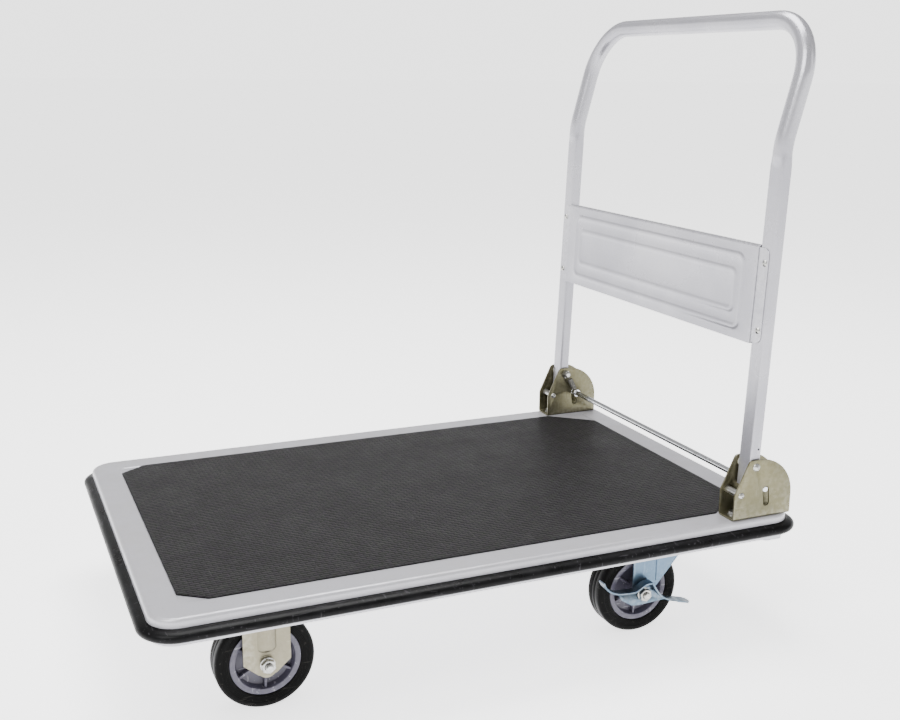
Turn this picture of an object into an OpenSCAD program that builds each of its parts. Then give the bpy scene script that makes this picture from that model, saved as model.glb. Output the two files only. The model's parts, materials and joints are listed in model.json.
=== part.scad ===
// Folding platform cart: pressed steel deck on two rigid and two braked swivel casters,
// with a folding tube handle that a sprung foot bar holds upright.
// X runs along the deck towards the handle, Y across it and Z up. The origin is on the
// floor under the middle of the deck, and every size is in millimetres.

/* [Deck] */
// Length of the pressed deck without its bumper
deck_l = 880; // [760:1:1100]
// Width of the pressed deck without its bumper
deck_w = 578; // [480:1:720]
// Radius of the deck's corners in plan
corner_r = 34; // [28:1:60]
// Thickness of the deck sheet
sheet_t = 1.5; // [1.2:0.1:2]
// Depth of the skirt below the deck's top face
skirt_h = 33; // [30:1:45]
// Width of the lip turned in along the skirt's lower edge
skirt_lip = 14; // [8:1:18]
// Radius of the edge between top face and skirt
edge_r = 5; // [3:0.5:6]
// Width of the raised border around the mat's recess
border_w = 38; // [36:1:60]
// Depth of the shallow recess pressed for the mat
recess_d = 1; // [0.5:0.1:1.3]

/* [Mat] */
// Thickness of the mat
mat_t = 2; // [1.5:0.1:4]
// Gap between the mat and the step of its recess
mat_gap = 1.5; // [0.5:0.1:4]
// Length along the deck of the mat's cut front corners
mat_cut_l = 35; // [10:1:60]
// Width across the deck of the mat's cut front corners
mat_cut_w = 25; // [10:1:60]
// Clearance between the mat and the hinge brackets
mat_bracket_gap = 4; // [2:0.5:10]

/* [Bumper] */
// How far the bumper stands out from the skirt
bumper_out = 13; // [10:0.5:20]
// Height of the bumper
bumper_h = 15; // [12:0.5:18]
// Depth of the bumper's upper edge below the deck's top face
bumper_drop = 11; // [8:0.5:12]
// Radius of the bumper's nose
bumper_nose_r = 5; // [3:0.5:5.5]

/* [Rails under the deck] */
// Height of the hat-section rails
rail_h = 13; // [12:0.5:20]
// Thickness of the rails' sheet
rail_t = 2; // [1.5:0.1:2.5]
// Width of a cross rail's web, which carries two casters
cross_rail_w = 116; // [112:1:140]
// Width of a stiffener's web
stiffener_w = 40; // [30:1:60]
// Width of the welding flanges along each rail
rail_flange = 16; // [10:1:20]
// Distance of each stiffener from the deck's middle line
stiffener_y = 120; // [60:1:140]
// Width of the strap under the handle end
strap_w = 33; // [24:1:40]
// Thickness of that strap
strap_t = 4; // [3:0.5:6]

/* [Casters] */
// Diameter of each wheel
wheel_d = 125; // [110:1:130]
// Height of a caster from the floor to its mounting face
caster_h = 156.5; // [154:0.5:165]
// Distance of each wheel's middle from the deck's long edge
wheel_inset = 86; // [74:1:110]
// Distance of the rigid casters' axles from the deck's front edge
rigid_inset = 143.5; // [110:0.5:180]
// Distance of the swivel pins from the deck's edge at the handle
swivel_inset = 178; // [174:1:200]
// Distance from the swivel pin back to the axle
trail = 28; // [20:1:34]
// Length of a caster's plate along the deck
plate_l = 105; // [100:1:110]
// Width of a caster's plate across the deck
plate_w = 80; // [76:1:95]
// Thickness of a caster's plate
plate_t = 3; // [2.5:0.5:4]
// Distance between a plate's bolts along the deck
bolt_dx = 84; // [80:1:88]
// Distance between a plate's bolts across the deck
bolt_dy = 60; // [58:1:70]
// Thickness of the fork's sheet
fork_t = 2.5; // [2:0.1:3]
// Gap between the fork's two legs
fork_gap = 45; // [42:0.5:50]
// Diameter of the axle bolts
axle_d = 10; // [8:0.5:12]
// Diameter of the swivel pin
kingpin_d = 12; // [10:0.5:14]
// Diameter of the bearing balls in the swivel
ball_d = 7; // [6:0.5:8]

/* [Wheels] */
// Width of the tyre
tyre_w = 35; // [28:0.5:38]
// Outer diameter of the hub, where the tyre sits
hub_d = 90; // [80:1:96]
// Radius of the tyre's shoulders
shoulder_r = 6; // [3:0.5:9]
// Thickness of the hub's web
web_t = 9; // [6:0.5:14]
// Thickness of the hub's rim
rim_t = 7; // [5:0.5:9]
// Diameter of the hub's boss
boss_d = 30; // [26:1:36]
// Number of ribs on each side of the web
rib_n = 6; // [4:1:10]
// Diameter of the bearing sleeve
sleeve_d = 16; // [14:0.5:20]

/* [Brake levers] */
// Thickness of the brake lever's sheet
lever_t = 2; // [1.5:0.1:2.5]
// How far the lever's turned edge stands out
lever_flange = 13; // [9:0.5:16]
// Thickness of the cam ring between fork and lever
cam_t = 3; // [2:0.5:4]

/* [Hinge brackets] */
// Distance of the handle's pivot from the deck's edge at the handle
pivot_inset = 70; // [68:1:73]
// Height of the pivot above the deck
pivot_h = 74; // [68:1:90]
// Distance of each bracket's outer face from the deck's long edge
bracket_inset = 3; // [1:0.5:8]
// Outer width of a bracket
bracket_w = 34; // [32:0.5:40]
// Thickness of a bracket's sheet
bracket_t = 2.5; // [2:0.1:3]
// Length of a bracket from the pivot to its front edge
bracket_front = 33; // [30:1:40]
// Length of a bracket from the pivot to its back edge
bracket_back = 61; // [54:1:66]
// Diameter of the pivot bolts
pivot_d = 8; // [6:0.5:8]
// Diameter of the screws that fix brackets and casters
screw_d = 8; // [6:0.5:8]

/* [Foot bar] */
// Diameter of the foot bar
bar_d = 8.5; // [7:0.5:9]
// Distance of the bar behind the pivot
bar_back = 18; // [16:0.5:22]
// Distance of the bar below the pivot
bar_below = 34; // [33.5:0.5:40]
// Travel of the bar when it is pressed down
bar_travel = 19; // [14:0.5:20]
// Lean of the bar's slots away from upright, in degrees
slot_tilt = 6; // [0:1:10]
// Sideways play of the bar in its slots
slot_play = 0.75; // [0.3:0.05:1]
// Diameter of the springs' wire
wire_d = 1.6; // [1:0.1:2]
// Outer diameter of the springs
spring_d = 9.4; // [8:0.1:10]

/* [Handle] */
// Height of the top bar above the pivot, along the legs
handle_h = 588; // [540:1:820]
// Height of the bend above the pivot
bend_h = 430; // [360:1:440]
// Backward angle of the tube above the bend, in degrees
bend_angle = 12.7; // [5:0.1:20]
// Backward lean of the upright handle, in degrees
lean = 2.4; // [0:0.1:6]
// Diameter of the round part of the tube
tube_d = 25; // [22:0.5:27]
// Wall of the tube
tube_t = 1.5; // [1.2:0.1:2]
// Bending radius of the top corners
top_r = 78; // [50:1:110]
// Bending radius where the legs turn backwards
leg_bend_r = 120; // [60:1:200]
// Width of the flattened legs across the deck
leg_w = 26; // [24:0.5:26]
// Depth of the flattened legs along the deck
leg_d = 17; // [15:0.5:18]
// Radius of the flattened legs' edges
leg_r = 3.2; // [2.5:0.1:3.4]
// Length of the legs below the pivot
leg_foot = 30; // [20:0.5:30]

/* [Panel] */
// Height of the panel's lower edge above the pivot
panel_u = 166; // [120:1:200]
// Height of the panel
panel_h = 133; // [100:1:150]
// Thickness of the panel's sheet
panel_t = 1.2; // [1:0.1:1.5]
// Diameter of the rolled upper edge
roll_d = 6.5; // [5:0.5:8]
// Height of the beads pressed in the panel
bead_h = 1.6; // [1:0.1:2.5]
// Diameter of the panel's rivet heads
rivet_d = 9; // [7:0.5:10]

/* [Hidden] */
$fn = 96;
left = -1;
right = 1;
slack = 0.3;
run_gap = 0.05;
cut = 1;
run_step = 0.05;
run_lap = 1.5;
wheel_y = deck_w / 2 - wheel_inset;
rigid_x = deck_l / 2 - rigid_inset;
swivel_x = deck_l / 2 - swivel_inset;
pivot_x = deck_l / 2 - pivot_inset;
bracket_y = deck_w / 2 - bracket_inset - bracket_w / 2;
deck_z = caster_h + rail_h + sheet_t + recess_d;
axle_z = wheel_d / 2;
rail_z = caster_h;
pivot_z = deck_z + pivot_h;
bar_x = pivot_x + bar_back;
bar_z = pivot_z - bar_below;
recess_l = deck_l - 2 * border_w;
recess_w = deck_w - 2 * border_w;
mat_l = recess_l - 2 * mat_gap;
mat_w = recess_w - 2 * mat_gap;
bracket_x0 = pivot_x - bracket_front;
bracket_x1 = pivot_x + bracket_back;
bracket_in = bracket_y - bracket_w / 2;
bracket_out = bracket_y + bracket_w / 2;
head_h = 0.55 * screw_d;
nut_h = 0.8 * screw_d;
hex_af = 1.625 * screw_d;
axle_nut_h = 0.8 * axle_d;
axle_hex_af = 1.6 * axle_d;
fork_out = fork_gap / 2 + fork_t;
rivet_y = bracket_y;
spring_y = bracket_in - nut_h - wire_d - 1;
spring_run = norm([bar_back, bar_below]);
spring_angle = atan2(bar_below, bar_back);
race_r = 27;
head_r = 42;
race_z = caster_h - plate_t - 5.5;
crown_z = race_z - ball_d / 2 - 2.5;
crown_t = 3;
lever_off = cam_t + lever_t + 2 * run_gap;
hole_gap = 0.5;
thread_gap = 0.02;
pin_gap = 0.05;
screw_inset = 13;
bracket_screw_x = [bracket_x0 + screw_inset, bracket_x1 - screw_inset];
spacer_x = pivot_x - 22;
spacer_z = deck_z + 36;
spacer_r = 5;
spacer_pin_r = 3;
bush_wall = 1.6;
bush_r = pivot_d / 2 + bush_wall;
rivet_u = [panel_u + 20, panel_u + panel_h - 23];
rivet_pin_r = 2;
rivet_h = 3.2;
rivet_ball = (pow(rivet_d / 2, 2) + pow(rivet_h, 2)) / (2 * rivet_h);
panel_half = bracket_y - leg_w / 2 - 0.5;
panel_v = -leg_d / 2 - panel_t;
flange_d = 9;
tab_reach = 7;
tab_r = 10;
bead_r = 12;
beads = [[16, 28], [40, 44]];
recess_r = 9;
plate_r = 8;
strap_gap = 4;
strap_inset = 15;
rigid_half = 29.5;
rigid_boss_r = 15.5;
rigid_boss_foot = 14;
swivel_front = 34;
swivel_back = 14;

// Points along an arc about c from angle a to angle b
function arc(c, r, a, b, n = 8) =
    [for (i = [0:n]) c + r * [cos(a + (b - a) * i / n), sin(a + (b - a) * i / n)]];

// Points along a cubic curve with end points p and s and handles q and t
function curve(p, q, t, s, n = 12) =
    [for (i = [0:n]) let (k = i / n) pow(1 - k, 3) * p + 3 * k * pow(1 - k, 2) * q
        + 3 * k * k * (1 - k) * t + pow(k, 3) * s];

// Rectangle with round corners, about its middle
module round_rect(l, w, r) {
    square([l - 2 * r, w], center = true);
    square([l, w - 2 * r], center = true);
    for (sx = [-1, 1])
        for (sy = [-1, 1])
            translate([sx * (l / 2 - r), sy * (w / 2 - r)])
                circle(r = r);
}

// Sweeps a profile around a rectangle with round corners. The profile's x points outwards
// from the rectangle's edge and its y points up.
module around(l, w, r) {
    for (k = [0:3]) {
        off = (k % 2 == 0 ? l : w) / 2;
        half = (k % 2 == 0 ? w : l) / 2;
        rotate([0, 0, 90 * k]) {
            translate([off, half - r, 0])
                rotate([90, 0, 0])
                    linear_extrude(height = 2 * (half - r))
                        children();
            translate([off - r, half - r, 0])
                rotate_extrude(angle = 90)
                    translate([r, 0])
                        children();
        }
    }
}

// Turns a child drawn in X and Z about the Y axis at a place, thick along Y towards the outside
module side_plate(y0, t, side) {
    translate([0, side * y0, 0])
        rotate([90, 0, 0])
            translate([0, 0, side > 0 ? -t : 0])
                linear_extrude(height = t)
                    children();
}

// Cylinder along Y from y0 outwards by h on one side of the middle line
module cross_cyl(r, y0, h, side) {
    translate([0, side * y0, 0])
        rotate([side > 0 ? -90 : 90, 0, 0])
            cylinder(r = r, h = h);
}

// Hexagonal prism along Y
module cross_hex(af, y0, h, side) {
    translate([0, side * y0, 0])
        rotate([side > 0 ? -90 : 90, 0, 0])
            cylinder(r = af / sqrt(3), h = h, $fn = 6);
}

// Low dome along Y, with a radius r at its foot and a height h
module cross_dome(r, y0, h, side) {
    ball = (r * r + h * h) / (2 * h);
    translate([0, side * y0, 0])
        rotate([side > 0 ? -90 : 90, 0, 0])
            rotate_extrude()
                polygon(concat([[0, 0]], arc([0, h - ball], ball, 90 - 2 * atan2(h, r), 90, 8)));
}

// Deck

// Section through the deck's edge, from its rounded top edge down to the lip
module edge_section() {
    inner = edge_r - sheet_t;
    polygon(concat(
        [[-edge_r - 4, 0]],
        arc([-edge_r, -edge_r], edge_r, 90, 0),
        [[0, -skirt_h], [-skirt_lip, -skirt_h], [-skirt_lip, -skirt_h + sheet_t],
            [-sheet_t, -skirt_h + sheet_t]],
        arc([-edge_r, -edge_r], inner, 0, 90),
        [[-edge_r - 4, -sheet_t]]
    ));
}

module deck_pan() {
    inset = edge_r + 3;
    color([0.83, 0.83, 0.84])
        translate([0, 0, deck_z])
            difference() {
                union() {
                    around(deck_l, deck_w, corner_r)
                        edge_section();
                    translate([0, 0, -sheet_t])
                        linear_extrude(height = sheet_t)
                            round_rect(deck_l - 2 * inset, deck_w - 2 * inset, corner_r - inset);
                    translate([0, 0, -sheet_t - recess_d])
                        linear_extrude(height = sheet_t)
                            round_rect(recess_l + 2 * sheet_t, recess_w + 2 * sheet_t, recess_r + sheet_t);
                }
                translate([0, 0, -recess_d])
                    linear_extrude(height = recess_d + cut)
                        round_rect(recess_l, recess_w, recess_r);
                for (side = [left, right])
                    for (x = bracket_screw_x)
                        translate([x, side * bracket_y, -sheet_t - cut])
                            cylinder(r = screw_d / 2 + hole_gap, h = sheet_t + 2 * cut);
            }
}

// Outline of the mat, whose corners are cut to clear the brackets and the recess
module mat_outline() {
    x = mat_l / 2;
    y = mat_w / 2;
    back_l = x - bracket_x0 + mat_bracket_gap;
    back_w = y - bracket_in + mat_bracket_gap + 50;
    polygon([
        [-x + mat_cut_l, -y], [x - back_l, -y], [x, -y + back_w],
        [x, y - back_w], [x - back_l, y], [-x + mat_cut_l, y],
        [-x, y - mat_cut_w], [-x, -y + mat_cut_w]
    ]);
}

module deck_mat() {
    color([0.27, 0.265, 0.27])
        translate([0, 0, deck_z - recess_d])
            linear_extrude(height = mat_t)
                mat_outline();
}

module edge_bumper() {
    nose = [bumper_out - bumper_nose_r, -bumper_drop - bumper_h + 1.5 + bumper_nose_r];
    color([0.17, 0.165, 0.18])
        translate([0, 0, deck_z])
            around(deck_l, deck_w, corner_r)
                polygon(concat(
                    [[0, -bumper_drop - bumper_h], [0, -bumper_drop]],
                    arc(nose, bumper_nose_r, 80, -85, 10)
                ));
}

// Hat-section rail of a length, open side up, with welding flanges along its upper edges
module hat_rail(l, w) {
    rotate([90, 0, 90])
        linear_extrude(height = l, center = true)
            difference() {
                union() {
                    translate([-w / 2, 0])
                        square([w, rail_h]);
                    translate([-w / 2 - rail_flange, rail_h - rail_t])
                        square([w + 2 * rail_flange, rail_t]);
                }
                translate([-w / 2 + rail_t, rail_t])
                    square([w - 2 * rail_t, rail_h]);
            }
}

module cross_rail(x) {
    color([0.78, 0.78, 0.76])
        difference() {
            translate([x, 0, rail_z])
                rotate([0, 0, 90])
                    hat_rail(deck_w - 2 * skirt_lip - 2, cross_rail_w);
            for (side = [left, right])
                translate([x, side * wheel_y, rail_z - cut])
                    bolt_grid()
                        cylinder(r = screw_d / 2 + hole_gap, h = rail_t + 2 * cut);
        }
}

module stiffener(side) {
    gap = swivel_x + rigid_x - cross_rail_w - 2 * rail_flange - 2;
    middle = (swivel_x - rigid_x) / 2;
    color([0.78, 0.78, 0.76])
        translate([middle, side * stiffener_y, rail_z])
            hat_rail(gap, stiffener_w);
}

module end_strap() {
    l = deck_w - 2 * strap_gap;
    x = deck_l / 2 - strap_inset - strap_w / 2;
    color([0.72, 0.72, 0.66])
        translate([x, 0, deck_z - skirt_h - strap_t])
            linear_extrude(height = strap_t)
                round_rect(strap_w, l, plate_r);
}

// Hinge brackets

// Side view of a bracket with its pivot at the origin
module bracket_side() {
    foot = -pivot_h;
    top = 10;
    polygon(concat(
        [[-bracket_front, foot], [-bracket_front + 1, foot + 39], [-10, top - 0.5], [-8, top]],
        curve([7, top], [32, top], [bracket_back, -18], [bracket_back, -44]),
        [[bracket_back, foot]]
    ));
}

// Section through a bracket: a channel with round bends at its base
module bracket_section() {
    h = pivot_h + 20;
    w = bracket_w / 2;
    r = bracket_t + 1;
    difference() {
        polygon(concat(
            [[w, h], [-w, h]],
            arc([-w + r, r], r, 180, 270),
            arc([w - r, r], r, 270, 360)
        ));
        polygon(concat(
            [[w - bracket_t, h + cut], [-w + bracket_t, h + cut]],
            arc([-w + r, r], r - bracket_t, 180, 270),
            arc([w - r, r], r - bracket_t, 270, 360)
        ));
    }
}

// Slot for the foot bar, drawn about the bar's upper place
module bar_slot() {
    r = bar_d / 2 + slot_play;
    rotate(slot_tilt) {
        circle(r = r);
        translate([0, -bar_travel])
            circle(r = r);
        translate([-r, -bar_travel])
            square([2 * r, bar_travel]);
    }
}

module bracket(side) {
    color([0.66, 0.66, 0.58])
        difference() {
            intersection() {
                translate([bracket_x0 - cut, side * bracket_y, deck_z])
                    rotate([90, 0, 90])
                        linear_extrude(height = bracket_front + bracket_back + 2 * cut)
                            bracket_section();
                translate([pivot_x, side * bracket_y, pivot_z])
                    rotate([90, 0, 0])
                        linear_extrude(height = bracket_w + 2 * cut, center = true)
                            bracket_side();
            }
            translate([pivot_x, 0, pivot_z])
                cross_cyl(pivot_d / 2 + run_gap, bracket_in - cut, bracket_w + 2 * cut, side);
            translate([spacer_x, 0, spacer_z])
                cross_cyl(spacer_pin_r + pin_gap, bracket_in - cut, bracket_w + 2 * cut, side);
            translate([bar_x, 0, bar_z])
                side_plate(bracket_in - cut, bracket_w + 2 * cut, side)
                    bar_slot();
            for (x = bracket_screw_x)
                translate([x, side * bracket_y, deck_z - cut])
                    cylinder(r = screw_d / 2 + hole_gap, h = bracket_t + 2 * cut);
        }
}

module bracket_spacers() {
    inner = bracket_w - 2 * bracket_t;
    color([0.8, 0.82, 0.82])
        for (side = [left, right])
            translate([spacer_x, side * bracket_y, spacer_z])
                rotate([90, 0, 0])
                    difference() {
                        cylinder(r = spacer_r, h = inner, center = true);
                        cylinder(r = spacer_pin_r + pin_gap, h = inner + 2 * cut, center = true);
                    }
}

module spacer_rivets() {
    color([0.82, 0.83, 0.83])
        for (side = [left, right])
            translate([spacer_x, 0, spacer_z]) {
                cross_cyl(spacer_pin_r, bracket_in - 0.5, bracket_w + 1, side);
                cross_dome(4.6, bracket_out, 2.6, side);
                mirror([0, 1, 0])
                    cross_dome(4.6, -bracket_in, 2.2, side);
            }
}

// Screw that points down, with its head's underside at the origin
module screw(l) {
    translate([0, 0, -l])
        cylinder(r = screw_d / 2, h = l + 0.5);
    cylinder(r = hex_af / sqrt(3), h = head_h, $fn = 6);
}

// Nut that stands on the origin
module nut() {
    difference() {
        cylinder(r = hex_af / sqrt(3), h = nut_h, $fn = 6);
        translate([0, 0, -cut])
            cylinder(r = screw_d / 2 + thread_gap, h = nut_h + 2 * cut);
    }
}

module bracket_screws() {
    color([0.82, 0.83, 0.83])
        for (side = [left, right])
            for (x = bracket_screw_x)
                translate([x, side * bracket_y, deck_z + bracket_t])
                    screw(bracket_t + sheet_t + nut_h + 3);
}

module bracket_nuts() {
    color([0.82, 0.83, 0.83])
        for (side = [left, right])
            for (x = bracket_screw_x)
                translate([x, side * bracket_y, deck_z - sheet_t - nut_h])
                    nut();
}

module pivot_bolts() {
    color([0.82, 0.83, 0.83])
        for (side = [left, right])
            translate([pivot_x, 0, pivot_z]) {
                cross_cyl(pivot_d / 2, spring_y - wire_d - 1, bracket_out - spring_y + wire_d + 1.5, side);
                cross_dome(5.8, bracket_out, 3.6, side);
            }
}

module pivot_nuts() {
    color([0.82, 0.83, 0.83])
        for (side = [left, right])
            translate([pivot_x, 0, pivot_z])
                difference() {
                    cross_hex(1.5 * pivot_d, bracket_in - nut_h, nut_h, side);
                    cross_cyl(pivot_d / 2 + thread_gap, bracket_in - nut_h - cut, nut_h + 2 * cut, side);
                }
}

// Tension spring from the pivot bolt to the foot bar: eyes, stems and a close-wound body
module spring(side) {
    eye = wire_d / 2 + slack;
    start = pivot_d / 2 + wire_d + 3.6;
    end = spring_run - bar_d / 2 - wire_d - 3;
    color([0.75, 0.76, 0.77])
        translate([pivot_x, side * spring_y, pivot_z])
            rotate([0, spring_angle, 0]) {
                for (e = [[0, pivot_d / 2 + eye], [spring_run, bar_d / 2 + eye]])
                    translate([e[0], 0, 0])
                        rotate([90, 0, 0])
                            rotate_extrude()
                                translate([e[1], 0])
                                    circle(r = wire_d / 2);
                rotate([0, 90, 0]) {
                    translate([0, 0, pivot_d / 2 + eye])
                        cylinder(r = wire_d / 2, h = start - pivot_d / 2 - eye + 0.5);
                    translate([0, 0, start])
                        cylinder(r = spring_d / 2, h = end - start);
                    translate([0, 0, end - 0.5])
                        cylinder(r = wire_d / 2, h = spring_run - bar_d / 2 - eye - end + 0.5);
                }
            }
}

// Foot bar

module foot_bar() {
    color([0.8, 0.81, 0.82])
        translate([bar_x, 0, bar_z])
            rotate([90, 0, 0])
                cylinder(r = bar_d / 2, h = 2 * bracket_out - 1, center = true);
}

module bar_collars() {
    w = 3;
    color([0.7, 0.71, 0.72])
        for (side = [left, right])
            translate([bar_x, 0, bar_z])
                difference() {
                    cross_cyl(bar_d / 2 + 2.2, spring_y - wire_d / 2 - slack - w, w, side);
                    cross_cyl(bar_d / 2, spring_y - wire_d / 2 - slack - w - cut, w + 2 * cut, side);
                }
}

// Handle, drawn upright with its pivot at the origin

// Places a child of the handle's own frame at the pivot, with the handle's lean
module at_pivot() {
    translate([pivot_x, 0, pivot_z])
        rotate([0, lean, 0])
            children();
}

// Solid of the handle's tube, or of its bore when inset is the wall. Each straight run is a
// little thinner than the bends and laps into them.
module tube_solid(inset) {
    r = tube_d / 2 - inset;
    r_run = r - run_step;
    bend_run = leg_bend_r * tan(bend_angle / 2);
    rise = (handle_h - bend_h) / cos(bend_angle) - top_r;
    over = inset > 0 ? cut : 0;
    for (side = [left, right])
        translate([0, side * bracket_y, 0]) {
            translate([0, 0, -leg_foot - over])
                linear_extrude(height = leg_foot + over + bend_h - bend_run)
                    round_rect(leg_d - 2 * inset, leg_w - 2 * inset, leg_r - inset);
            translate([leg_bend_r, 0, bend_h - bend_run])
                rotate([90, 0, 0])
                    rotate([0, 0, 180 - bend_angle])
                        rotate_extrude(angle = bend_angle)
                            translate([leg_bend_r, 0])
                                circle(r = r);
            translate([0, 0, bend_h])
                rotate([0, bend_angle, 0]) {
                    translate([0, 0, bend_run - run_lap])
                        cylinder(r = r_run, h = rise - bend_run + 2 * run_lap);
                    translate([0, -side * top_r, rise])
                        rotate([90, 0, side * 90])
                            rotate_extrude(angle = 90)
                                translate([top_r, 0])
                                    circle(r = r);
                }
        }
    translate([(handle_h - bend_h) * tan(bend_angle), 0, handle_h])
        rotate([90, 0, 0])
            cylinder(r = r_run, h = 2 * (bracket_y - top_r + run_lap), center = true);
}

module handle_tube() {
    color([0.84, 0.84, 0.83])
        at_pivot()
            difference() {
                tube_solid(0);
                tube_solid(tube_t);
                for (side = [left, right]) {
                    cross_cyl(bush_r, bracket_y - leg_w, 2 * leg_w, side);
                    for (u = rivet_u)
                        translate([-leg_d / 2 - cut, side * rivet_y, u])
                            rotate([0, 90, 0])
                                cylinder(r = rivet_pin_r + pin_gap, h = leg_d / 2);
                }
            }
}

module handle_panel() {
    field = panel_h - roll_d;
    color([0.85, 0.85, 0.85])
        at_pivot()
            difference() {
                union() {
                    translate([panel_v, -panel_half, panel_u])
                        cube([panel_t, 2 * panel_half, panel_h - roll_d / 2]);
                    translate([panel_v, 0, panel_u + panel_h / 2])
                        rotate([0, 90, 0])
                            linear_extrude(height = panel_t)
                                round_rect(panel_h - 6, 2 * (bracket_y + tab_reach), tab_r);
                    translate([panel_v, -panel_half, panel_u])
                        cube([flange_d, 2 * panel_half, panel_t]);
                    translate([panel_v + roll_d / 2, 0, panel_u + panel_h - roll_d / 2])
                        rotate([90, 0, 0])
                            cylinder(r = roll_d / 2, h = 2 * panel_half, center = true);
                    for (k = beads)
                        translate([panel_v, 0, panel_u + field / 2])
                            rotate([0, -90, 0])
                                around(field - 2 * k[0], 2 * panel_half - 2 * k[1], bead_r)
                                    intersection() {
                                        scale([3.2, 1])
                                            circle(r = bead_h, $fn = 24);
                                        translate([-8, 0])
                                            square([16, bead_h + 1]);
                                    }
                }
                for (side = [left, right])
                    for (u = rivet_u)
                        translate([panel_v - cut, side * rivet_y, u])
                            rotate([0, 90, 0])
                                cylinder(r = rivet_pin_r + pin_gap, h = panel_t + 2 * cut);
            }
}

module panel_rivets() {
    color([0.84, 0.84, 0.84])
        at_pivot()
            for (side = [left, right])
                for (u = rivet_u)
                    translate([panel_v, side * rivet_y, u])
                        rotate([0, -90, 0]) {
                            translate([0, 0, -panel_t - tube_t - 2])
                                cylinder(r = rivet_pin_r, h = panel_t + tube_t + 2.5);
                            rotate_extrude()
                                polygon(concat([[0, 0]], arc([0, rivet_h - rivet_ball], rivet_ball,
                                    90 - 2 * atan2(rivet_h, rivet_d / 2), 90, 8)));
                        }
}

module pivot_bushes() {
    total = bracket_w - 2 * bracket_t - 0.6;
    color([0.3, 0.3, 0.31])
        for (side = [left, right])
            translate([pivot_x, side * bracket_y, pivot_z])
                rotate([90, 0, 0])
                    difference() {
                        union() {
                            cylinder(r = bush_r, h = total, center = true);
                            for (e = [-1, 1])
                                translate([0, 0, e * (leg_w / 2 + (total - leg_w) / 4)])
                                    cylinder(r = bush_r + 2.2, h = (total - leg_w) / 2, center = true);
                        }
                        cylinder(r = pivot_d / 2 + run_gap, h = total + 2 * cut, center = true);
                    }
}

// Wheels, drawn along Y about their own middle

module wheel_at(x, side) {
    translate([x, side * wheel_y, axle_z])
        rotate([90, 0, 0])
            children();
}

module tyre(x, side) {
    w = tyre_w / 2;
    r = wheel_d / 2;
    color([0.1, 0.1, 0.105])
        wheel_at(x, side)
            rotate_extrude()
                polygon(concat(
                    [[hub_d / 2, -w + 1.5]],
                    arc([r - shoulder_r, -w + shoulder_r], shoulder_r, -90, 0),
                    arc([r - shoulder_r, w - shoulder_r], shoulder_r, 0, 90),
                    [[hub_d / 2, w - 1.5]]
                ));
}

module hub(x, side) {
    w = tyre_w / 2;
    r = hub_d / 2;
    boss = boss_d / 2;
    boss_w = fork_gap / 2 - 1;
    color([0.55, 0.545, 0.6])
        wheel_at(x, side)
            difference() {
                union() {
                    rotate_extrude()
                        polygon([
                            [sleeve_d / 2, -boss_w], [boss - 2, -boss_w], [boss, -web_t / 2],
                            [r - rim_t - 2, -web_t / 2], [r - rim_t, -w + 1], [r, -w + 1],
                            [r, w - 1], [r - rim_t, w - 1], [r - rim_t - 2, web_t / 2],
                            [boss, web_t / 2], [boss - 2, boss_w], [sleeve_d / 2, boss_w]
                        ]);
                    for (i = [0:rib_n - 1])
                        rotate([0, 0, i * 360 / rib_n + 15])
                            translate([boss - 3, -1.5, -w + 5])
                                cube([r - rim_t - boss + 4, 3, 2 * w - 10]);
                }
            }
}

module sleeve(x, side) {
    l = fork_gap - 0.6;
    color([0.7, 0.7, 0.7])
        wheel_at(x, side)
            difference() {
                cylinder(r = sleeve_d / 2, h = l, center = true);
                cylinder(r = axle_d / 2 + run_gap, h = l + 2 * cut, center = true);
            }
}

// Casters

// Repeats a child at the four bolts of a caster's plate
module bolt_grid() {
    for (sx = [-1, 1])
        for (sy = [-1, 1])
            translate([sx * bolt_dx / 2, sy * bolt_dy / 2, 0])
                children();
}

// Caster plate with its upper face at the origin
module caster_plate() {
    translate([0, 0, -plate_t])
        linear_extrude(height = plate_t)
            difference() {
                round_rect(plate_l, plate_w, plate_r);
                bolt_grid()
                    circle(r = screw_d / 2 + hole_gap);
            }
}

// Side view of a rigid fork's leg, with the axle at the origin
module rigid_leg_side() {
    h = caster_h - axle_z;
    polygon(concat(
        [[-rigid_half, h], [-rigid_half, 3], [-11, -13]],
        arc([0, -5.5], 12, 215, 325, 8),
        [[11, -13], [rigid_half, 3], [rigid_half, h]]
    ));
}

module rigid_fork(side) {
    h = caster_h - axle_z;
    color([0.68, 0.66, 0.58])
        difference() {
            union() {
                translate([-rigid_x, side * wheel_y, caster_h])
                    caster_plate();
                translate([-rigid_x, side * wheel_y, axle_z])
                    for (s = [left, right]) {
                        side_plate(fork_gap / 2, fork_t, s)
                            rigid_leg_side();
                        translate([0, 0, rigid_boss_foot])
                            intersection() {
                                translate([0, s * (fork_out - 10), 0])
                                    cylinder(r = rigid_boss_r, h = h - rigid_boss_foot - plate_t + 0.5);
                                translate([-20, s > 0 ? fork_out - 0.5 : -fork_out - 10, 0])
                                    cube([40, 10.5, h]);
                            }
                    }
            }
            translate([-rigid_x, side * wheel_y, axle_z])
                rotate([90, 0, 0])
                    cylinder(r = axle_d / 2 + run_gap, h = 2 * fork_out + 20, center = true);
        }
}

// Side view of a swivel fork's leg, with the axle at the origin
module swivel_leg_side() {
    h = crown_z - axle_z;
    difference() {
        union() {
            polygon([
                [-swivel_back, 0], [-swivel_back, h - 1], [trail + swivel_front, h - 1],
                [trail + swivel_front, h - 30], [10, h - 54 - trail]
            ]);
            circle(r = swivel_back);
        }
        circle(r = axle_d / 2 + run_gap);
    }
}

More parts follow.
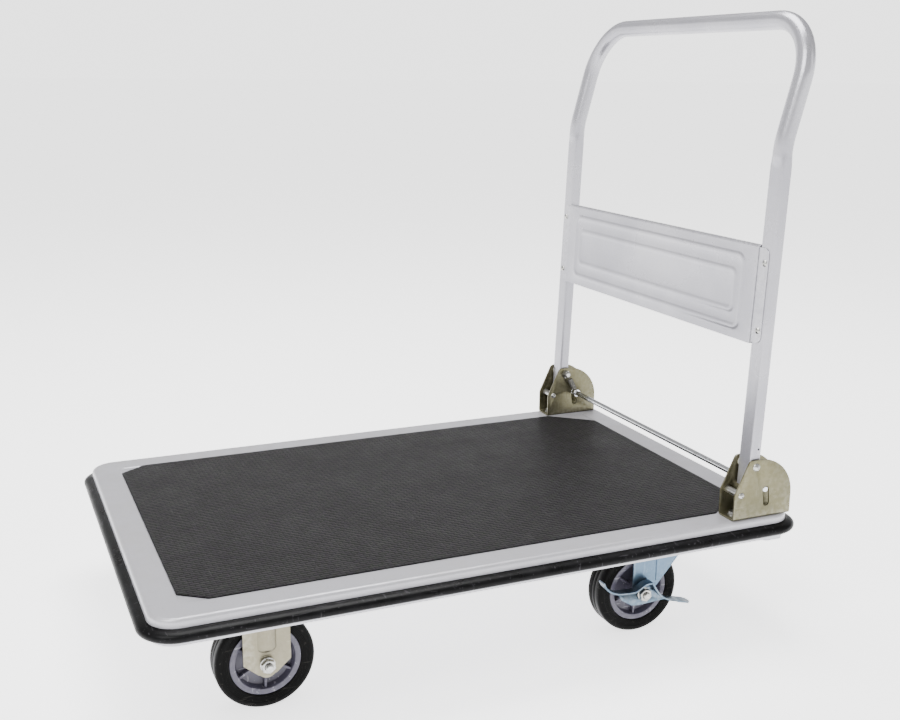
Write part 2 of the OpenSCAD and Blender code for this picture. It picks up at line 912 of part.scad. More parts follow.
module swivel_fork(side) {
    color([0.66, 0.73, 0.78])
        difference() {
            union() {
                translate([swivel_x, side * wheel_y, crown_z - crown_t])
                    cylinder(r = head_r, h = crown_t);
                translate([swivel_x, side * wheel_y, crown_z - 0.5])
                    cylinder(r = race_r + 7, h = 4.5);
                translate([swivel_x - trail, side * wheel_y, axle_z])
                    for (s = [left, right])
                        side_plate(fork_gap / 2, fork_t, s)
                            swivel_leg_side();
            }
            translate([swivel_x, side * wheel_y, crown_z - 4])
                cylinder(r = kingpin_d / 2 + run_gap, h = 12);
            translate([swivel_x, side * wheel_y, race_z])
                rotate_extrude()
                    translate([race_r, 0])
                        circle(r = ball_d / 2 + slack);
        }
}

module swivel_plate(side) {
    color([0.66, 0.73, 0.78])
        translate([swivel_x, side * wheel_y, 0])
            difference() {
                union() {
                    translate([0, 0, caster_h])
                        caster_plate();
                    translate([0, 0, race_z + 0.5])
                        cylinder(r = race_r + 9, h = caster_h - plate_t - race_z);
                }
                translate([0, 0, race_z])
                    rotate_extrude()
                        translate([race_r, 0])
                            circle(r = ball_d / 2 + run_gap);
                translate([0, 0, race_z - cut])
                    cylinder(r = kingpin_d / 2, h = caster_h - race_z + 2 * cut);
            }
}

module kingpins() {
    foot = crown_z - crown_t - slack;
    color([0.66, 0.68, 0.7])
        for (side = [left, right])
            translate([swivel_x, side * wheel_y, 0]) {
                translate([0, 0, foot - 3])
                    cylinder(r = kingpin_d / 2, h = caster_h - foot + 3);
                translate([0, 0, foot - 4])
                    cylinder(r = kingpin_d / 2 + 5, h = 4);
            }
}

module race_balls() {
    n = floor(2 * PI * race_r / (ball_d + 1.5));
    color([0.75, 0.75, 0.76])
        for (side = [left, right])
            for (i = [0:n - 1])
                translate([swivel_x, side * wheel_y, race_z])
                    rotate([0, 0, i * 360 / n])
                        translate([race_r, 0, 0])
                            sphere(r = ball_d / 2, $fn = 32);
}

module caster_screws() {
    color([0.82, 0.83, 0.83])
        for (x = [-rigid_x, swivel_x])
            for (side = [left, right])
                translate([x, side * wheel_y, caster_h - plate_t])
                    bolt_grid()
                        mirror([0, 0, 1])
                            screw(plate_t + rail_t + nut_h + 1);
}

module caster_nuts() {
    color([0.82, 0.83, 0.83])
        for (x = [-rigid_x, swivel_x])
            for (side = [left, right])
                translate([x, side * wheel_y, rail_z + rail_t])
                    bolt_grid()
                        nut();
}

// Axle bolt: its head on the inner side of the fork, its end past the nut on the outer side
module axle_bolt(x, side, past) {
    translate([x, side * wheel_y, axle_z]) {
        cross_cyl(axle_d / 2, -fork_out - 0.5, 2 * fork_out + past + 0.5, side);
        cross_hex(axle_hex_af, -fork_out - 0.6 * axle_d, 0.6 * axle_d, side);
    }
}

// Axle nut with its flange, at a distance out from the fork
module axle_nut(x, side, off) {
    translate([x, side * wheel_y, axle_z])
        difference() {
            union() {
                cross_hex(axle_hex_af, fork_out + off, axle_nut_h, side);
                cross_cyl(axle_hex_af / 2 + 1.5, fork_out + off, 1.6, side);
            }
            cross_cyl(axle_d / 2 + thread_gap, fork_out + off - cut, axle_nut_h + 2 * cut, side);
        }
}

module front_axle_bolts() {
    color([0.8, 0.81, 0.82])
        for (side = [left, right])
            axle_bolt(-rigid_x, side, axle_nut_h + 6);
}

module front_axle_nuts() {
    color([0.8, 0.81, 0.82])
        for (side = [left, right])
            axle_nut(-rigid_x, side, 0);
}

module rear_axle_bolt(side) {
    color([0.8, 0.81, 0.82])
        axle_bolt(swivel_x - trail, side, lever_off + axle_nut_h + 4);
}

module rear_axle_nut(side) {
    color([0.8, 0.81, 0.82])
        axle_nut(swivel_x - trail, side, lever_off);
}

// Cam ring that the lever squeezes against the fork's leg
module brake_cam(side) {
    color([0.6, 0.65, 0.7])
        translate([swivel_x - trail, side * wheel_y, axle_z])
            difference() {
                cross_cyl(axle_d / 2 + 6, fork_out, cam_t, side);
                cross_cyl(axle_d / 2 + run_gap, fork_out - cut, cam_t + 2 * cut, side);
            }
}

// Upper edge of the brake lever in side view, from the release tip to the pedal
function lever_edge() = concat(
    curve([-70, 31], [-64, 14], [-48, 10], [-30, 9.5], 8),
    curve([-22, 9.2], [-12, 9], [-8, 18], [2, 18], 8),
    curve([8, 18], [18, 2], [22, -9], [46, -14.5], 8),
    [[66, -20]]
);

// Side view of the lever's upright plate
module lever_side() {
    edge = lever_edge();
    polygon(concat(
        [for (p = edge) if (p[0] > -50 && p[0] < 46) p],
        curve([44, -15], [24, -14], [-6, -18], [-18, -15], 8),
        [[-34, -5]]
    ));
}

// Strip of sheet that follows the lever's upper edge
module lever_strip() {
    edge = lever_edge();
    polygon(concat(edge, [for (i = [len(edge) - 1:-1:0]) edge[i] - [0, lever_t]]));
}

module brake_lever(side) {
    y0 = fork_out + cam_t + run_gap;
    color([0.66, 0.73, 0.8])
        translate([swivel_x - trail, side * wheel_y, axle_z])
            difference() {
                union() {
                    side_plate(y0, lever_t, side)
                        lever_side();
                    side_plate(y0, lever_flange, side)
                        lever_strip();
                    translate([46, side * (y0 + lever_flange / 2), -14.5])
                        rotate([0, 15.4, 0])
                            translate([12, 0, -lever_t])
                                linear_extrude(height = lever_t)
                                    round_rect(28, lever_flange + 4, 7);
                }
                cross_cyl(axle_d / 2 + run_gap, y0 - cut, lever_t + 2 * cut, side);
                cross_cyl(axle_hex_af / 2 + 3.5, y0 + lever_t, lever_flange, side);
            }
}

deck_pan();
deck_mat();
edge_bumper();
stiffener(left);  // stiffener_left
stiffener(right);  // stiffener_right
cross_rail(-rigid_x);  // cross_rail_front
cross_rail(swivel_x);  // cross_rail_rear
end_strap();
bracket(left);  // bracket_left
bracket(right);  // bracket_right
bracket_screws();
bracket_nuts();
bracket_spacers();
spacer_rivets();
pivot_bolts();
pivot_nuts();
spring(left);  // spring_left
spring(right);  // spring_right
rigid_fork(left);  // rigid_fork_left
rigid_fork(right);  // rigid_fork_right
front_axle_bolts();
front_axle_nuts();
caster_screws();
caster_nuts();
swivel_plate(left);  // swivel_plate_left
swivel_plate(right);  // swivel_plate_right
kingpins();
race_balls();
handle_tube();
handle_panel();
panel_rivets();
pivot_bushes();
foot_bar();
bar_collars();
tyre(-rigid_x, left);  // front_tyre_left
tyre(-rigid_x, right);  // front_tyre_right
hub(-rigid_x, left);  // front_hub_left
hub(-rigid_x, right);  // front_hub_right
sleeve(-rigid_x, left);  // front_sleeve_left
sleeve(-rigid_x, right);  // front_sleeve_right
tyre(swivel_x - trail, left);  // rear_tyre_left
tyre(swivel_x - trail, right);  // rear_tyre_right
hub(swivel_x - trail, left);  // rear_hub_left
hub(swivel_x - trail, right);  // rear_hub_right
sleeve(swivel_x - trail, left);  // rear_sleeve_left
sleeve(swivel_x - trail, right);  // rear_sleeve_right
swivel_fork(left);  // swivel_fork_left
swivel_fork(right);  // swivel_fork_right
rear_axle_bolt(left);  // rear_axle_bolt_left
rear_axle_bolt(right);  // rear_axle_bolt_right
rear_axle_nut(left);  // rear_axle_nut_left
rear_axle_nut(right);  // rear_axle_nut_right
brake_cam(left);  // brake_cam_left
brake_cam(right);  // brake_cam_right
brake_lever(left);  // brake_lever_left
brake_lever(right);  // brake_lever_right
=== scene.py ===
# Folding platform cart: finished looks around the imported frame. Metres, X towards the handle, Z up.
import json
import math

import bmesh
import bpy
from mathutils import Matrix, Vector


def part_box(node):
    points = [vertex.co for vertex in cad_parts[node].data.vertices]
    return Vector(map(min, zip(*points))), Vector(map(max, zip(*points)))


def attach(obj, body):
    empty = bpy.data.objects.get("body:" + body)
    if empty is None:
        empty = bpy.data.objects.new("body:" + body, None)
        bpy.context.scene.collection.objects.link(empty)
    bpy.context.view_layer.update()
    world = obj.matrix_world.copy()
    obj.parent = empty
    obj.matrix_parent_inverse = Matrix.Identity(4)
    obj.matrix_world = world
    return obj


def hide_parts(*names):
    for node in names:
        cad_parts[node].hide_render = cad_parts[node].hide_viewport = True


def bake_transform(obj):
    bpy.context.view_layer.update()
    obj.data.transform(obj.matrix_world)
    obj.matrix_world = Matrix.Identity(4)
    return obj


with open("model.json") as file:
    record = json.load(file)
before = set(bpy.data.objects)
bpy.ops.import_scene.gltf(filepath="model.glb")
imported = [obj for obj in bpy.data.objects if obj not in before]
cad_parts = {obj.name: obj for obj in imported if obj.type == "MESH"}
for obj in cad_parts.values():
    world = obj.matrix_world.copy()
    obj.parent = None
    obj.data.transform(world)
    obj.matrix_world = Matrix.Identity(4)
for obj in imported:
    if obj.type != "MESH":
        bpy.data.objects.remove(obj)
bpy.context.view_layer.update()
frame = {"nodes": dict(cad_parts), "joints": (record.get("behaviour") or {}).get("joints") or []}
nodes = frame["nodes"]
print("frame loaded")

# camera, floor and lights

camera = dict(
    place=(-0.59668, -1.48419, 0.76302),
    heading=23.217,  # degrees from +Y towards +X
    pitch=14.01,  # degrees below level
    roll=0.371,
    lens=46.216,
)
studio = dict(
    floorSize=240.0,
    floorColour=(0.93, 0.93, 0.935),
    floorGlow=2.1,
    skyStrength=0.42,
    horizonStrength=2.7,  # a thin bright band all round
)


def makeCamera():
    data = bpy.data.cameras.new("studioCamera")
    data.lens = camera["lens"]
    data.clip_end = 100
    view = bpy.data.objects.new("studioCamera", data)
    turn = (
        Matrix.Rotation(math.radians(-camera["heading"]), 4, "Z")
        @ Matrix.Rotation(math.radians(90 - camera["pitch"]), 4, "X")
        @ Matrix.Rotation(math.radians(camera["roll"]), 4, "Z")
    )
    view.matrix_world = Matrix.Translation(camera["place"]) @ turn
    bpy.context.scene.collection.objects.link(view)
    bpy.context.scene.camera = view


def addLight(name, place, aim, size, power, colour=(1, 1, 1)):
    data = bpy.data.lights.new(name, "AREA")
    data.shape = "RECTANGLE"
    data.size, data.size_y = size
    data.energy = power
    data.color = colour
    lamp = bpy.data.objects.new(name, data)
    lamp.matrix_world = (
        Matrix.Translation(place) @ (
            Vector(aim) - Vector(place)
        ).to_track_quat("-Z", "Y").to_matrix().to_4x4()
    )
    bpy.context.scene.collection.objects.link(lamp)


def makeStudio():
    world = bpy.data.worlds.new("studioSky")
    world.use_nodes = True
    tree = world.node_tree
    back = tree.nodes["Background"]
    split = tree.nodes.new("ShaderNodeSeparateXYZ")
    tree.links.new(tree.nodes.new("ShaderNodeTexCoord").outputs["Generated"], split.inputs["Vector"])
    band = tree.nodes.new("ShaderNodeMapRange")
    band.interpolation_type = "SMOOTHSTEP"
    for label, value in (
        ("From Min", 0.1),
        ("From Max", 0.3),
        ("To Min", studio["horizonStrength"]),
        ("To Max", studio["skyStrength"]),
    ):
        band.inputs[label].default_value = value
    tree.links.new(split.outputs["Z"], band.inputs["Value"])
    tree.links.new(band.outputs["Result"], back.inputs["Strength"])
    back.inputs["Color"].default_value = (1, 1, 1, 1)
    bpy.context.scene.world = world
    bpy.ops.mesh.primitive_plane_add(size=studio["floorSize"], location=(0, 0, 0))
    floor = bpy.context.object
    floor.name = "studioFloor"
    mat = bpy.data.materials.new("floorPaper")
    mat.use_nodes = True
    bsdf = mat.node_tree.nodes["Principled BSDF"]
    bsdf.inputs["Base Color"].default_value = (*studio["floorColour"], 1)
    bsdf.inputs["Roughness"].default_value = 0.9
    bsdf.inputs["Emission Color"].default_value = (1, 1, 1, 1)
    bsdf.inputs["Emission Strength"].default_value = studio["floorGlow"]
    floor.data.materials.append(mat)
    addLight("keyLight", (-1.6, -1.2, 2.6), (0, 0, 0.2), (1.6, 1.6), 70)
    addLight("fillLight", (2.2, -1.8, 1.8), (0.1, 0, 0.3), (1.0, 1.0), 6)
    addLight("topLight", (0.2, 0.6, 3.0), (0, 0, 0.1), (1.8, 1.8), 130)


makeCamera()
makeStudio()
print("camera and studio ready")

# small helpers for work in edit mode

mm = 0.001


def clearPicks():
    if bpy.context.object and bpy.context.object.mode != "OBJECT":
        bpy.ops.object.mode_set(mode="OBJECT")
    bpy.ops.object.select_all(action="DESELECT")


def startPiece(name, addPrimitive, **settings):  # a primitive at its size and place, ready in edit mode
    clearPicks()
    addPrimitive(**settings)
    piece = bpy.context.object
    piece.name = piece.data.name = name
    bpy.ops.object.transform_apply(location=True, rotation=True, scale=True)
    bpy.ops.object.mode_set(mode="EDIT")
    bpy.ops.mesh.select_all(action="SELECT")
    return piece


def pick(piece, kind, test):  # selects the verts, edges or faces whose middle passes the test
    bpy.ops.mesh.select_all(action="DESELECT")
    bpy.ops.mesh.select_mode(type=kind)
    mesh = bmesh.from_edit_mesh(piece.data)
    if kind == "VERT":
        found = [v for v in mesh.verts if test(v.co)]
    elif kind == "EDGE":
        found = [e for e in mesh.edges if test((e.verts[0].co + e.verts[1].co) / 2, e)]
    else:
        found = [f for f in mesh.faces if test(f.calc_center_median(), f)]
    for item in found:
        item.select_set(True)
    mesh.select_flush_mode()
    bmesh.update_edit_mesh(piece.data)
    return len(found)


def stepIn(steps):  # insets the selected face in steps of (width, rise)
    for width, rise in steps:
        bpy.ops.mesh.inset(thickness=width, depth=rise, use_even_offset=True)


def finishPiece(piece, smoothAngle=35, doubles=1e-5):
    if bpy.context.object.mode != "EDIT":
        bpy.ops.object.mode_set(mode="EDIT")
    bpy.ops.mesh.select_mode(type="VERT")
    bpy.ops.mesh.select_all(action="SELECT")
    if doubles:
        bpy.ops.mesh.remove_doubles(threshold=doubles)
    bpy.ops.mesh.normals_make_consistent(inside=False)
    bpy.ops.object.mode_set(mode="OBJECT")
    clearPicks()
    piece.select_set(True)
    bpy.context.view_layer.objects.active = piece
    bpy.ops.object.shade_smooth_by_angle(angle=math.radians(smoothAngle))


def applyModifier(piece, kind, **settings):
    if bpy.context.object and bpy.context.object.mode != "OBJECT":
        bpy.ops.object.mode_set(mode="OBJECT")
    bpy.context.view_layer.objects.active = piece
    change = piece.modifiers.new(kind.lower(), kind)
    for name, value in settings.items():
        setattr(change, name, value)
    bpy.ops.object.modifier_apply(modifier=change.name)


def joinPieces(name, pieces):
    clearPicks()
    for piece in pieces:
        piece.select_set(True)
    bpy.context.view_layer.objects.active = pieces[0]
    if len(pieces) > 1:
        bpy.ops.object.join()
    joined = bpy.context.object
    joined.name = joined.data.name = name
    return joined


def copyPiece(piece, name, shift=(0, 0, 0), mirrorY=False):  # a copy with its own mesh
    twin = piece.copy()
    twin.data = piece.data.copy()
    twin.name = twin.data.name = name
    bpy.context.scene.collection.objects.link(twin)
    clearPicks()
    twin.select_set(True)
    bpy.context.view_layer.objects.active = twin
    if mirrorY:
        bpy.ops.transform.resize(value=(1, -1, 1), center_override=(0, 0, 0))
    bpy.ops.transform.translate(value=shift)
    bpy.ops.object.transform_apply(location=True, rotation=True, scale=True)
    if mirrorY:
        bpy.ops.object.mode_set(mode="EDIT")
        bpy.ops.mesh.select_all(action="SELECT")
        bpy.ops.mesh.normals_make_consistent(inside=False)
        bpy.ops.object.mode_set(mode="OBJECT")
    return twin


def place(piece, body, slotName, material, *cadNodes):  # finish, body and the CAD nodes it stands for
    piece.data.materials.clear()
    piece.data.materials.append(material)
    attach(piece, body)
    if cadNodes:
        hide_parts(*cadNodes)
    return piece

# turns and moves a finished mesh, and leaves its object at the origin
def settle(piece, turn=(0, 0, 0), shift=(0, 0, 0)):
    clearPicks()
    piece.select_set(True)
    bpy.context.view_layer.objects.active = piece
    piece.rotation_euler = [math.radians(a) for a in turn]
    piece.location = shift
    bpy.ops.object.transform_apply(location=True, rotation=True, scale=True)
    return piece


def chain(name, points):  # one vertex drawn out along a line of points
    piece = startPiece(name, bpy.ops.mesh.primitive_plane_add, size=1, location=points[0])
    bpy.ops.mesh.merge(type="CENTER")
    for here, there in zip(points, points[1:]):
        step = Vector(there) - Vector(here)
        bpy.ops.mesh.extrude_region_move(TRANSFORM_OT_translate={"value": step})
    bpy.ops.mesh.select_all(action="SELECT")
    return piece


# profile: (along the axis, radius)
def turned(name, profile, centre=(0, 0, 0), axis="Y", steps=48, smoothAngle=35):
    cx, cy, cz = centre
    if axis == "Y":
        points = [(cx + r, cy + a, cz) for a, r in profile]
        spindle = (0, 1, 0)
    else:
        points = [(cx + r, cy, cz + a) for a, r in profile]
        spindle = (0, 0, 1)
    piece = chain(name, points)
    bpy.ops.mesh.spin(steps=steps, angle=2 * math.pi, center=centre, axis=spindle)
    finishPiece(piece, smoothAngle)
    return piece


# a flat outline with a thickness, drawn in X and Z or X and Y
def cutout(name, outline, thickness, axis="Y", start=0.0):
    if axis == "Y":
        points = [(a, start, b) for a, b in outline]
        push = (0, thickness, 0)
    else:
        points = [(a, b, start) for a, b in outline]
        push = (0, 0, thickness)
    piece = chain(name, points)
    bpy.ops.mesh.edge_face_add()
    bpy.ops.mesh.extrude_region_move(TRANSFORM_OT_translate={"value": push})
    finishPiece(piece)
    return piece


def block(name, low, high):  # a box between two corners, as a start for other work
    middle = [(a + b) / 2 for a, b in zip(low, high)]
    piece = startPiece(name, bpy.ops.mesh.primitive_cube_add, size=1, location=middle)
    bpy.ops.transform.resize(value=[b - a for a, b in zip(low, high)], center_override=middle)
    return piece


def combine(piece, other, way):  # boolean of two finished meshes; the second one is used up
    applyModifier(piece, "BOOLEAN", operation=way, object=other, solver="EXACT")
    bpy.data.objects.remove(other)
    return piece


def softenEdges(piece, width, segments=2, angle=40, smoothAngle=40):
    applyModifier(
        piece, "BEVEL", width=width, segments=segments, limit_method="ANGLE", angle_limit=math.radians(angle),
        use_clamp_overlap=True, harden_normals=False,
    )
    clearPicks()
    piece.select_set(True)
    bpy.context.view_layer.objects.active = piece
    bpy.ops.object.shade_smooth_by_angle(angle=math.radians(smoothAngle))
    return piece


def arcPoints(centre, radius, start, end, count=8):
    cx, cy = centre
    turns = [math.radians(start + (end - start) * k / count) for k in range(count + 1)]
    return [(cx + radius * math.cos(t), cy + radius * math.sin(t)) for t in turns]


def curvePoints(a, b, c, d, count=10):  # a cubic curve from a to d with handles b and c
    out = []
    for k in range(count + 1):
        t = k / count
        u = 1 - t
        out.append(
            tuple(
                u**3 * p + 3 * u * u * t * q + 3 * u * t * t * r + t**3 * s
                for p, q, r, s in zip(a, b, c, d)
            )
        )
    return out


# rivet head from its foot to its middle, with a shallow dimple
def domeProfile(radius, height, dimple=0.25, sink=0.0):
    ball = (radius * radius + height * height) / (2 * height)
    top = math.asin(min(1, radius / ball))
    points = [
        (height - ball + ball * math.cos(top * (1 - k / 7)), ball * math.sin(top * (1 - k / 7)))
        for k in range(6)
    ]
    points += [
        (height - 0.02 * mm, radius * dimple), (height - sink, radius * dimple * 0.7), (height - sink, 0)
    ]
    return [(-0.2 * mm, 0), (-0.2 * mm, radius * 0.98)] + points


def hexNut(name, flats, height, bore, chamfer=30):  # stands on the origin along Z
    corner = flats / math.sqrt(3)
    nut = startPiece(
        name, bpy.ops.mesh.primitive_cylinder_add, vertices=6,
        radius=corner, depth=height, location=(0, 0, height / 2)
    )
    finishPiece(nut)
    drop = (corner - flats / 2 * 0.97) * math.tan(math.radians(chamfer))
    barrel = [
        (0, 0), (0, flats / 2 * 0.97), (drop, corner), (height - drop, corner), (height, flats / 2 * 0.97),
        (height, 0),
    ]
    nut = combine(nut, turned("barrel", barrel, axis="Z", steps=48), "INTERSECT")
    if bore:
        hole = [
            (-mm, 0), (-mm, bore + 0.6 * mm), (0.6 * mm, bore), (height - 0.6 * mm, bore),
            (height + mm, bore + 1.0 * mm), (height + mm, 0),
        ]
        nut = combine(nut, turned("bore", hole, axis="Z", steps=32), "DIFFERENCE")
    return softenEdges(nut, 0.12 * mm, 1, 30, 25)


# skins flat rings with round corners: (length, width, radius, z)
def pressed(name, rings, closed=False, segments=10):
    sheet = startPiece(name, bpy.ops.mesh.primitive_plane_add, size=1)
    bpy.ops.mesh.delete(type="VERT")
    for length, width, radius, z in rings:
        bpy.ops.mesh.select_all(action="DESELECT")
        bpy.ops.mesh.primitive_plane_add(size=1, location=(0, 0, z))
        bpy.ops.transform.resize(value=(length, width, 1), center_override=(0, 0, z))
        bpy.ops.mesh.bevel(offset=radius, segments=segments, affect="VERTICES")
        bpy.ops.mesh.delete(type="ONLY_FACE")
    mesh = bmesh.from_edit_mesh(sheet.data)
    mesh.verts.ensure_lookup_table()
    mesh.verts.index_update()
    count = len(mesh.verts) // len(rings)
    sides = [
        (e.verts[0].index, e.verts[1].index) for e in mesh.edges if max(v.index for v in e.verts) < count
    ]
    for k in range(len(rings) if closed else len(rings) - 1):
        here, there = k * count, (k + 1) % len(rings) * count
        for a, b in sides:
            mesh.faces.new(
                [mesh.verts[here + a], mesh.verts[here + b], mesh.verts[there + b], mesh.verts[there + a]]
            )
    bmesh.update_edit_mesh(sheet.data)
    if not closed:
        bpy.ops.mesh.select_all(action="DESELECT")
        bpy.ops.mesh.select_mode(type="VERT")
        mesh = bmesh.from_edit_mesh(sheet.data)
        mesh.verts.ensure_lookup_table()
        for v in mesh.verts[(len(rings) - 1) * count :]:
            v.select_set(True)
        mesh.select_flush(True)
        bmesh.update_edit_mesh(sheet.data)
        bpy.ops.mesh.edge_face_add()
    return sheet


def tone(code):  # a colour such as "d5d5db" as linear light
    parts = [int(code[k : k + 2], 16) / 255 for k in (0, 2, 4)]
    return (*[c / 12.92 if c <= 0.04045 else ((c + 0.055) / 1.055) ** 2.4 for c in parts], 1)


def addNode(tree, kind, inputs=None, **settings):
    node = tree.nodes.new(kind)
    for name, value in settings.items():
        setattr(node, name, value)
    for name, value in (inputs or {}).items():
        if isinstance(value, bpy.types.NodeSocket):
            tree.links.new(value, node.inputs[name])
        else:
            node.inputs[name].default_value = value
    return node


def addNoise(tree, vector, size, detail=3.0, rough=0.5, stretch=None):  # size is in metres
    if stretch:
        vector = addNode(tree, "ShaderNodeMapping", {"Vector": vector, "Scale": stretch}).outputs["Vector"]
    look = {"Vector": vector, "Scale": 1 / size, "Detail": detail, "Roughness": rough}
    return addNode(tree, "ShaderNodeTexNoise", look).outputs["Fac"]


def addRamp(tree, value, low, high):  # value between low and high, spread over 0 to 1
    look = {"Value": value, "From Min": low, "From Max": high}
    return addNode(tree, "ShaderNodeMapRange", look, interpolation_type="SMOOTHSTEP").outputs["Result"]


def addMath(tree, operation, first, second, clamp=False):
    return addNode(
        tree, "ShaderNodeMath", {0: first, 1: second}, operation=operation, use_clamp=clamp
    ).outputs[0]


def addMix(tree, share, first, second):  # first where share is 0, second where it is 1
    node = addNode(tree, "ShaderNodeMix", data_type="RGBA")
    for place, value in ((0, share), (6, first), (7, second)):
        if isinstance(value, bpy.types.NodeSocket):
            tree.links.new(value, node.inputs[place])
        else:
            node.inputs[place].default_value = value
    return node.outputs[2]


def newGroup(name, inputs, outputs):
    group = bpy.data.node_groups.new(name, "ShaderNodeTree")
    for label, kind, value in inputs:
        socket = group.interface.new_socket(label, in_out="INPUT", socket_type=kind)
        if value is not None:
            socket.default_value = value
    for label, kind in outputs:
        group.interface.new_socket(label, in_out="OUTPUT", socket_type=kind)
    start = group.nodes.new("NodeGroupInput")
    end = group.nodes.new("NodeGroupOutput")
    return group, start.outputs, end.inputs


def makeSurfaceMarks():  # cloudy patches, fine grain and thin scratches
    group, given, out = newGroup(
        "surfaceMarks",
        [
            ("Vector", "NodeSocketVector", None),
            ("Grain", "NodeSocketFloat", 900.0),
            ("Patches", "NodeSocketFloat", 22.0),
        ],
        [("Patches", "NodeSocketFloat"), ("Grain", "NodeSocketFloat"), ("Scratches", "NodeSocketFloat")],
    )
    cloud = addNode(
        group, "ShaderNodeTexNoise", {"Vector": given["Vector"], "Scale": given["Patches"], "Detail": 4.0}
    )
    grain = addNode(
        group, "ShaderNodeTexNoise", {"Vector": given["Vector"], "Scale": given["Grain"], "Detail": 2.0}
    )
    lines = []
    for turn, stretch in ((0.5, (25, 260, 260)), (2.1, (280, 30, 280)), (1.2, (260, 260, 28))):
        bend = addNode(
            group, "ShaderNodeMapping", {
                "Vector": given["Vector"], "Rotation": (turn, turn / 2, turn), "Scale": stretch
            }
        )
        streak = addNode(
            group, "ShaderNodeTexNoise", {"Vector": bend.outputs["Vector"], "Scale": 1.0, "Detail": 1.0}
        )
        lines.append(addRamp(group, streak.outputs["Fac"], 0.69, 0.74))
    both = addMath(group, "MAXIMUM", lines[0], lines[1])
    every = addMath(group, "MAXIMUM", both, lines[2])
    group.links.new(addRamp(group, cloud.outputs["Fac"], 0.3, 0.7), out["Patches"])
    group.links.new(grain.outputs["Fac"], out["Grain"])
    group.links.new(every, out["Scratches"])
    return group


def makeEdgeRub():  # corners that stick out are rubbed bright
    group, given, out = newGroup(
        "edgeRub",
        [("Vector", "NodeSocketVector", None), ("Amount", "NodeSocketFloat", 0.5)],
        [("Mask", "NodeSocketFloat")],
    )
    point = addNode(group, "ShaderNodeNewGeometry").outputs["Pointiness"]
    sharp = addRamp(group, point, 0.51, 0.56)
    broken = addRamp(group, addNoise(group, given["Vector"], 0.006), 0.35, 0.65)
    mask = addMath(group, "MULTIPLY", sharp, broken)
    group.links.new(addMath(group, "MULTIPLY", mask, given["Amount"], clamp=True), out["Mask"])
    return group


def makeSettledDust():  # a little dust on faces that look up, and in broad patches
    group, given, out = newGroup(
        "settledDust",
        [("Vector", "NodeSocketVector", None), ("Amount", "NodeSocketFloat", 0.3)],
        [("Mask", "NodeSocketFloat")],
    )
    facing = addNode(
        group, "ShaderNodeSeparateXYZ",
        {"Vector": addNode(group, "ShaderNodeNewGeometry").outputs["Normal"]},
    )
    up = addRamp(group, facing.outputs["Z"], -0.1, 0.9)
    cloud = addRamp(group, addNoise(group, given["Vector"], 0.05, detail=6.0, rough=0.65), 0.35, 0.75)
    mask = addMath(group, "MULTIPLY", up, cloud)
    group.links.new(addMath(group, "MULTIPLY", mask, given["Amount"], clamp=True), out["Mask"])
    return group


marksGroup = makeSurfaceMarks()
rubGroup = makeEdgeRub()
dustGroup = makeSettledDust()


def startFinish(name, **shader):
    material = bpy.data.materials.new(name)
    material.use_nodes = True
    tree = material.node_tree
    surface = tree.nodes["Principled BSDF"]
    for label, value in shader.items():
        surface.inputs[label.replace("_", " ")].default_value = value
    where = tree.nodes.new("ShaderNodeTexCoord").outputs["Object"]
    return material, tree, surface, where


def addGroup(tree, group, **inputs):
    node = tree.nodes.new("ShaderNodeGroup")
    node.node_tree = group
    for label, value in inputs.items():
        if isinstance(value, bpy.types.NodeSocket):
            tree.links.new(value, node.inputs[label])
        else:
            node.inputs[label].default_value = value
    return node.outputs


def addBump(tree, surface, height, distance, strength=1.0, normal=None):
    look = {"Height": height, "Distance": distance, "Strength": strength}
    if normal:
        look["Normal"] = normal
    bump = addNode(tree, "ShaderNodeBump", look).outputs["Normal"]
    tree.links.new(bump, surface.inputs["Normal"])
    return bump


def paintFinish(name, base, shade, dust, metallic=0.35, rough=0.34, dustAmount=0.35):
    material, tree, surface, where = startFinish(
        name, Metallic=metallic, Coat_Weight=0.25, Coat_Roughness=0.12, Specular_IOR_Level=0.5
    )
    marks = addGroup(tree, marksGroup, Vector=where, Grain=1400.0, Patches=9.0)
    rub = addGroup(tree, rubGroup, Vector=where, Amount=0.12)
    settled = addGroup(tree, dustGroup, Vector=where, Amount=dustAmount)
    flakes = addRamp(tree, addNoise(tree, where, 0.0005, detail=1.0), 0.45, 0.7)
    colour = addMix(tree, marks["Patches"], tone(base), tone(shade))
    colour = addMix(tree, addMath(tree, "MULTIPLY", flakes, 0.16), colour, tone("f6f6fa"))
    colour = addMix(tree, addMath(tree, "MULTIPLY", marks["Scratches"], 0.16), colour, tone("8c8a88"))
    colour = addMix(tree, settled["Mask"], colour, tone(dust))
    colour = addMix(tree, rub["Mask"], colour, tone("f2f2f0"))
    tree.links.new(colour, surface.inputs["Base Color"])
    softer = addMath(tree, "MULTIPLY", marks["Patches"], 0.08)
    softer = addMath(tree, "ADD", softer, addMath(tree, "MULTIPLY", settled["Mask"], 0.3))
    tree.links.new(addMath(tree, "ADD", softer, rough), surface.inputs["Roughness"])
    peel = addNoise(tree, where, 0.0028, detail=1.0)
    height = addMath(tree, "ADD", peel, addMath(tree, "MULTIPLY", marks["Scratches"], -0.5))
    addBump(tree, surface, height, 0.00006)
    return material


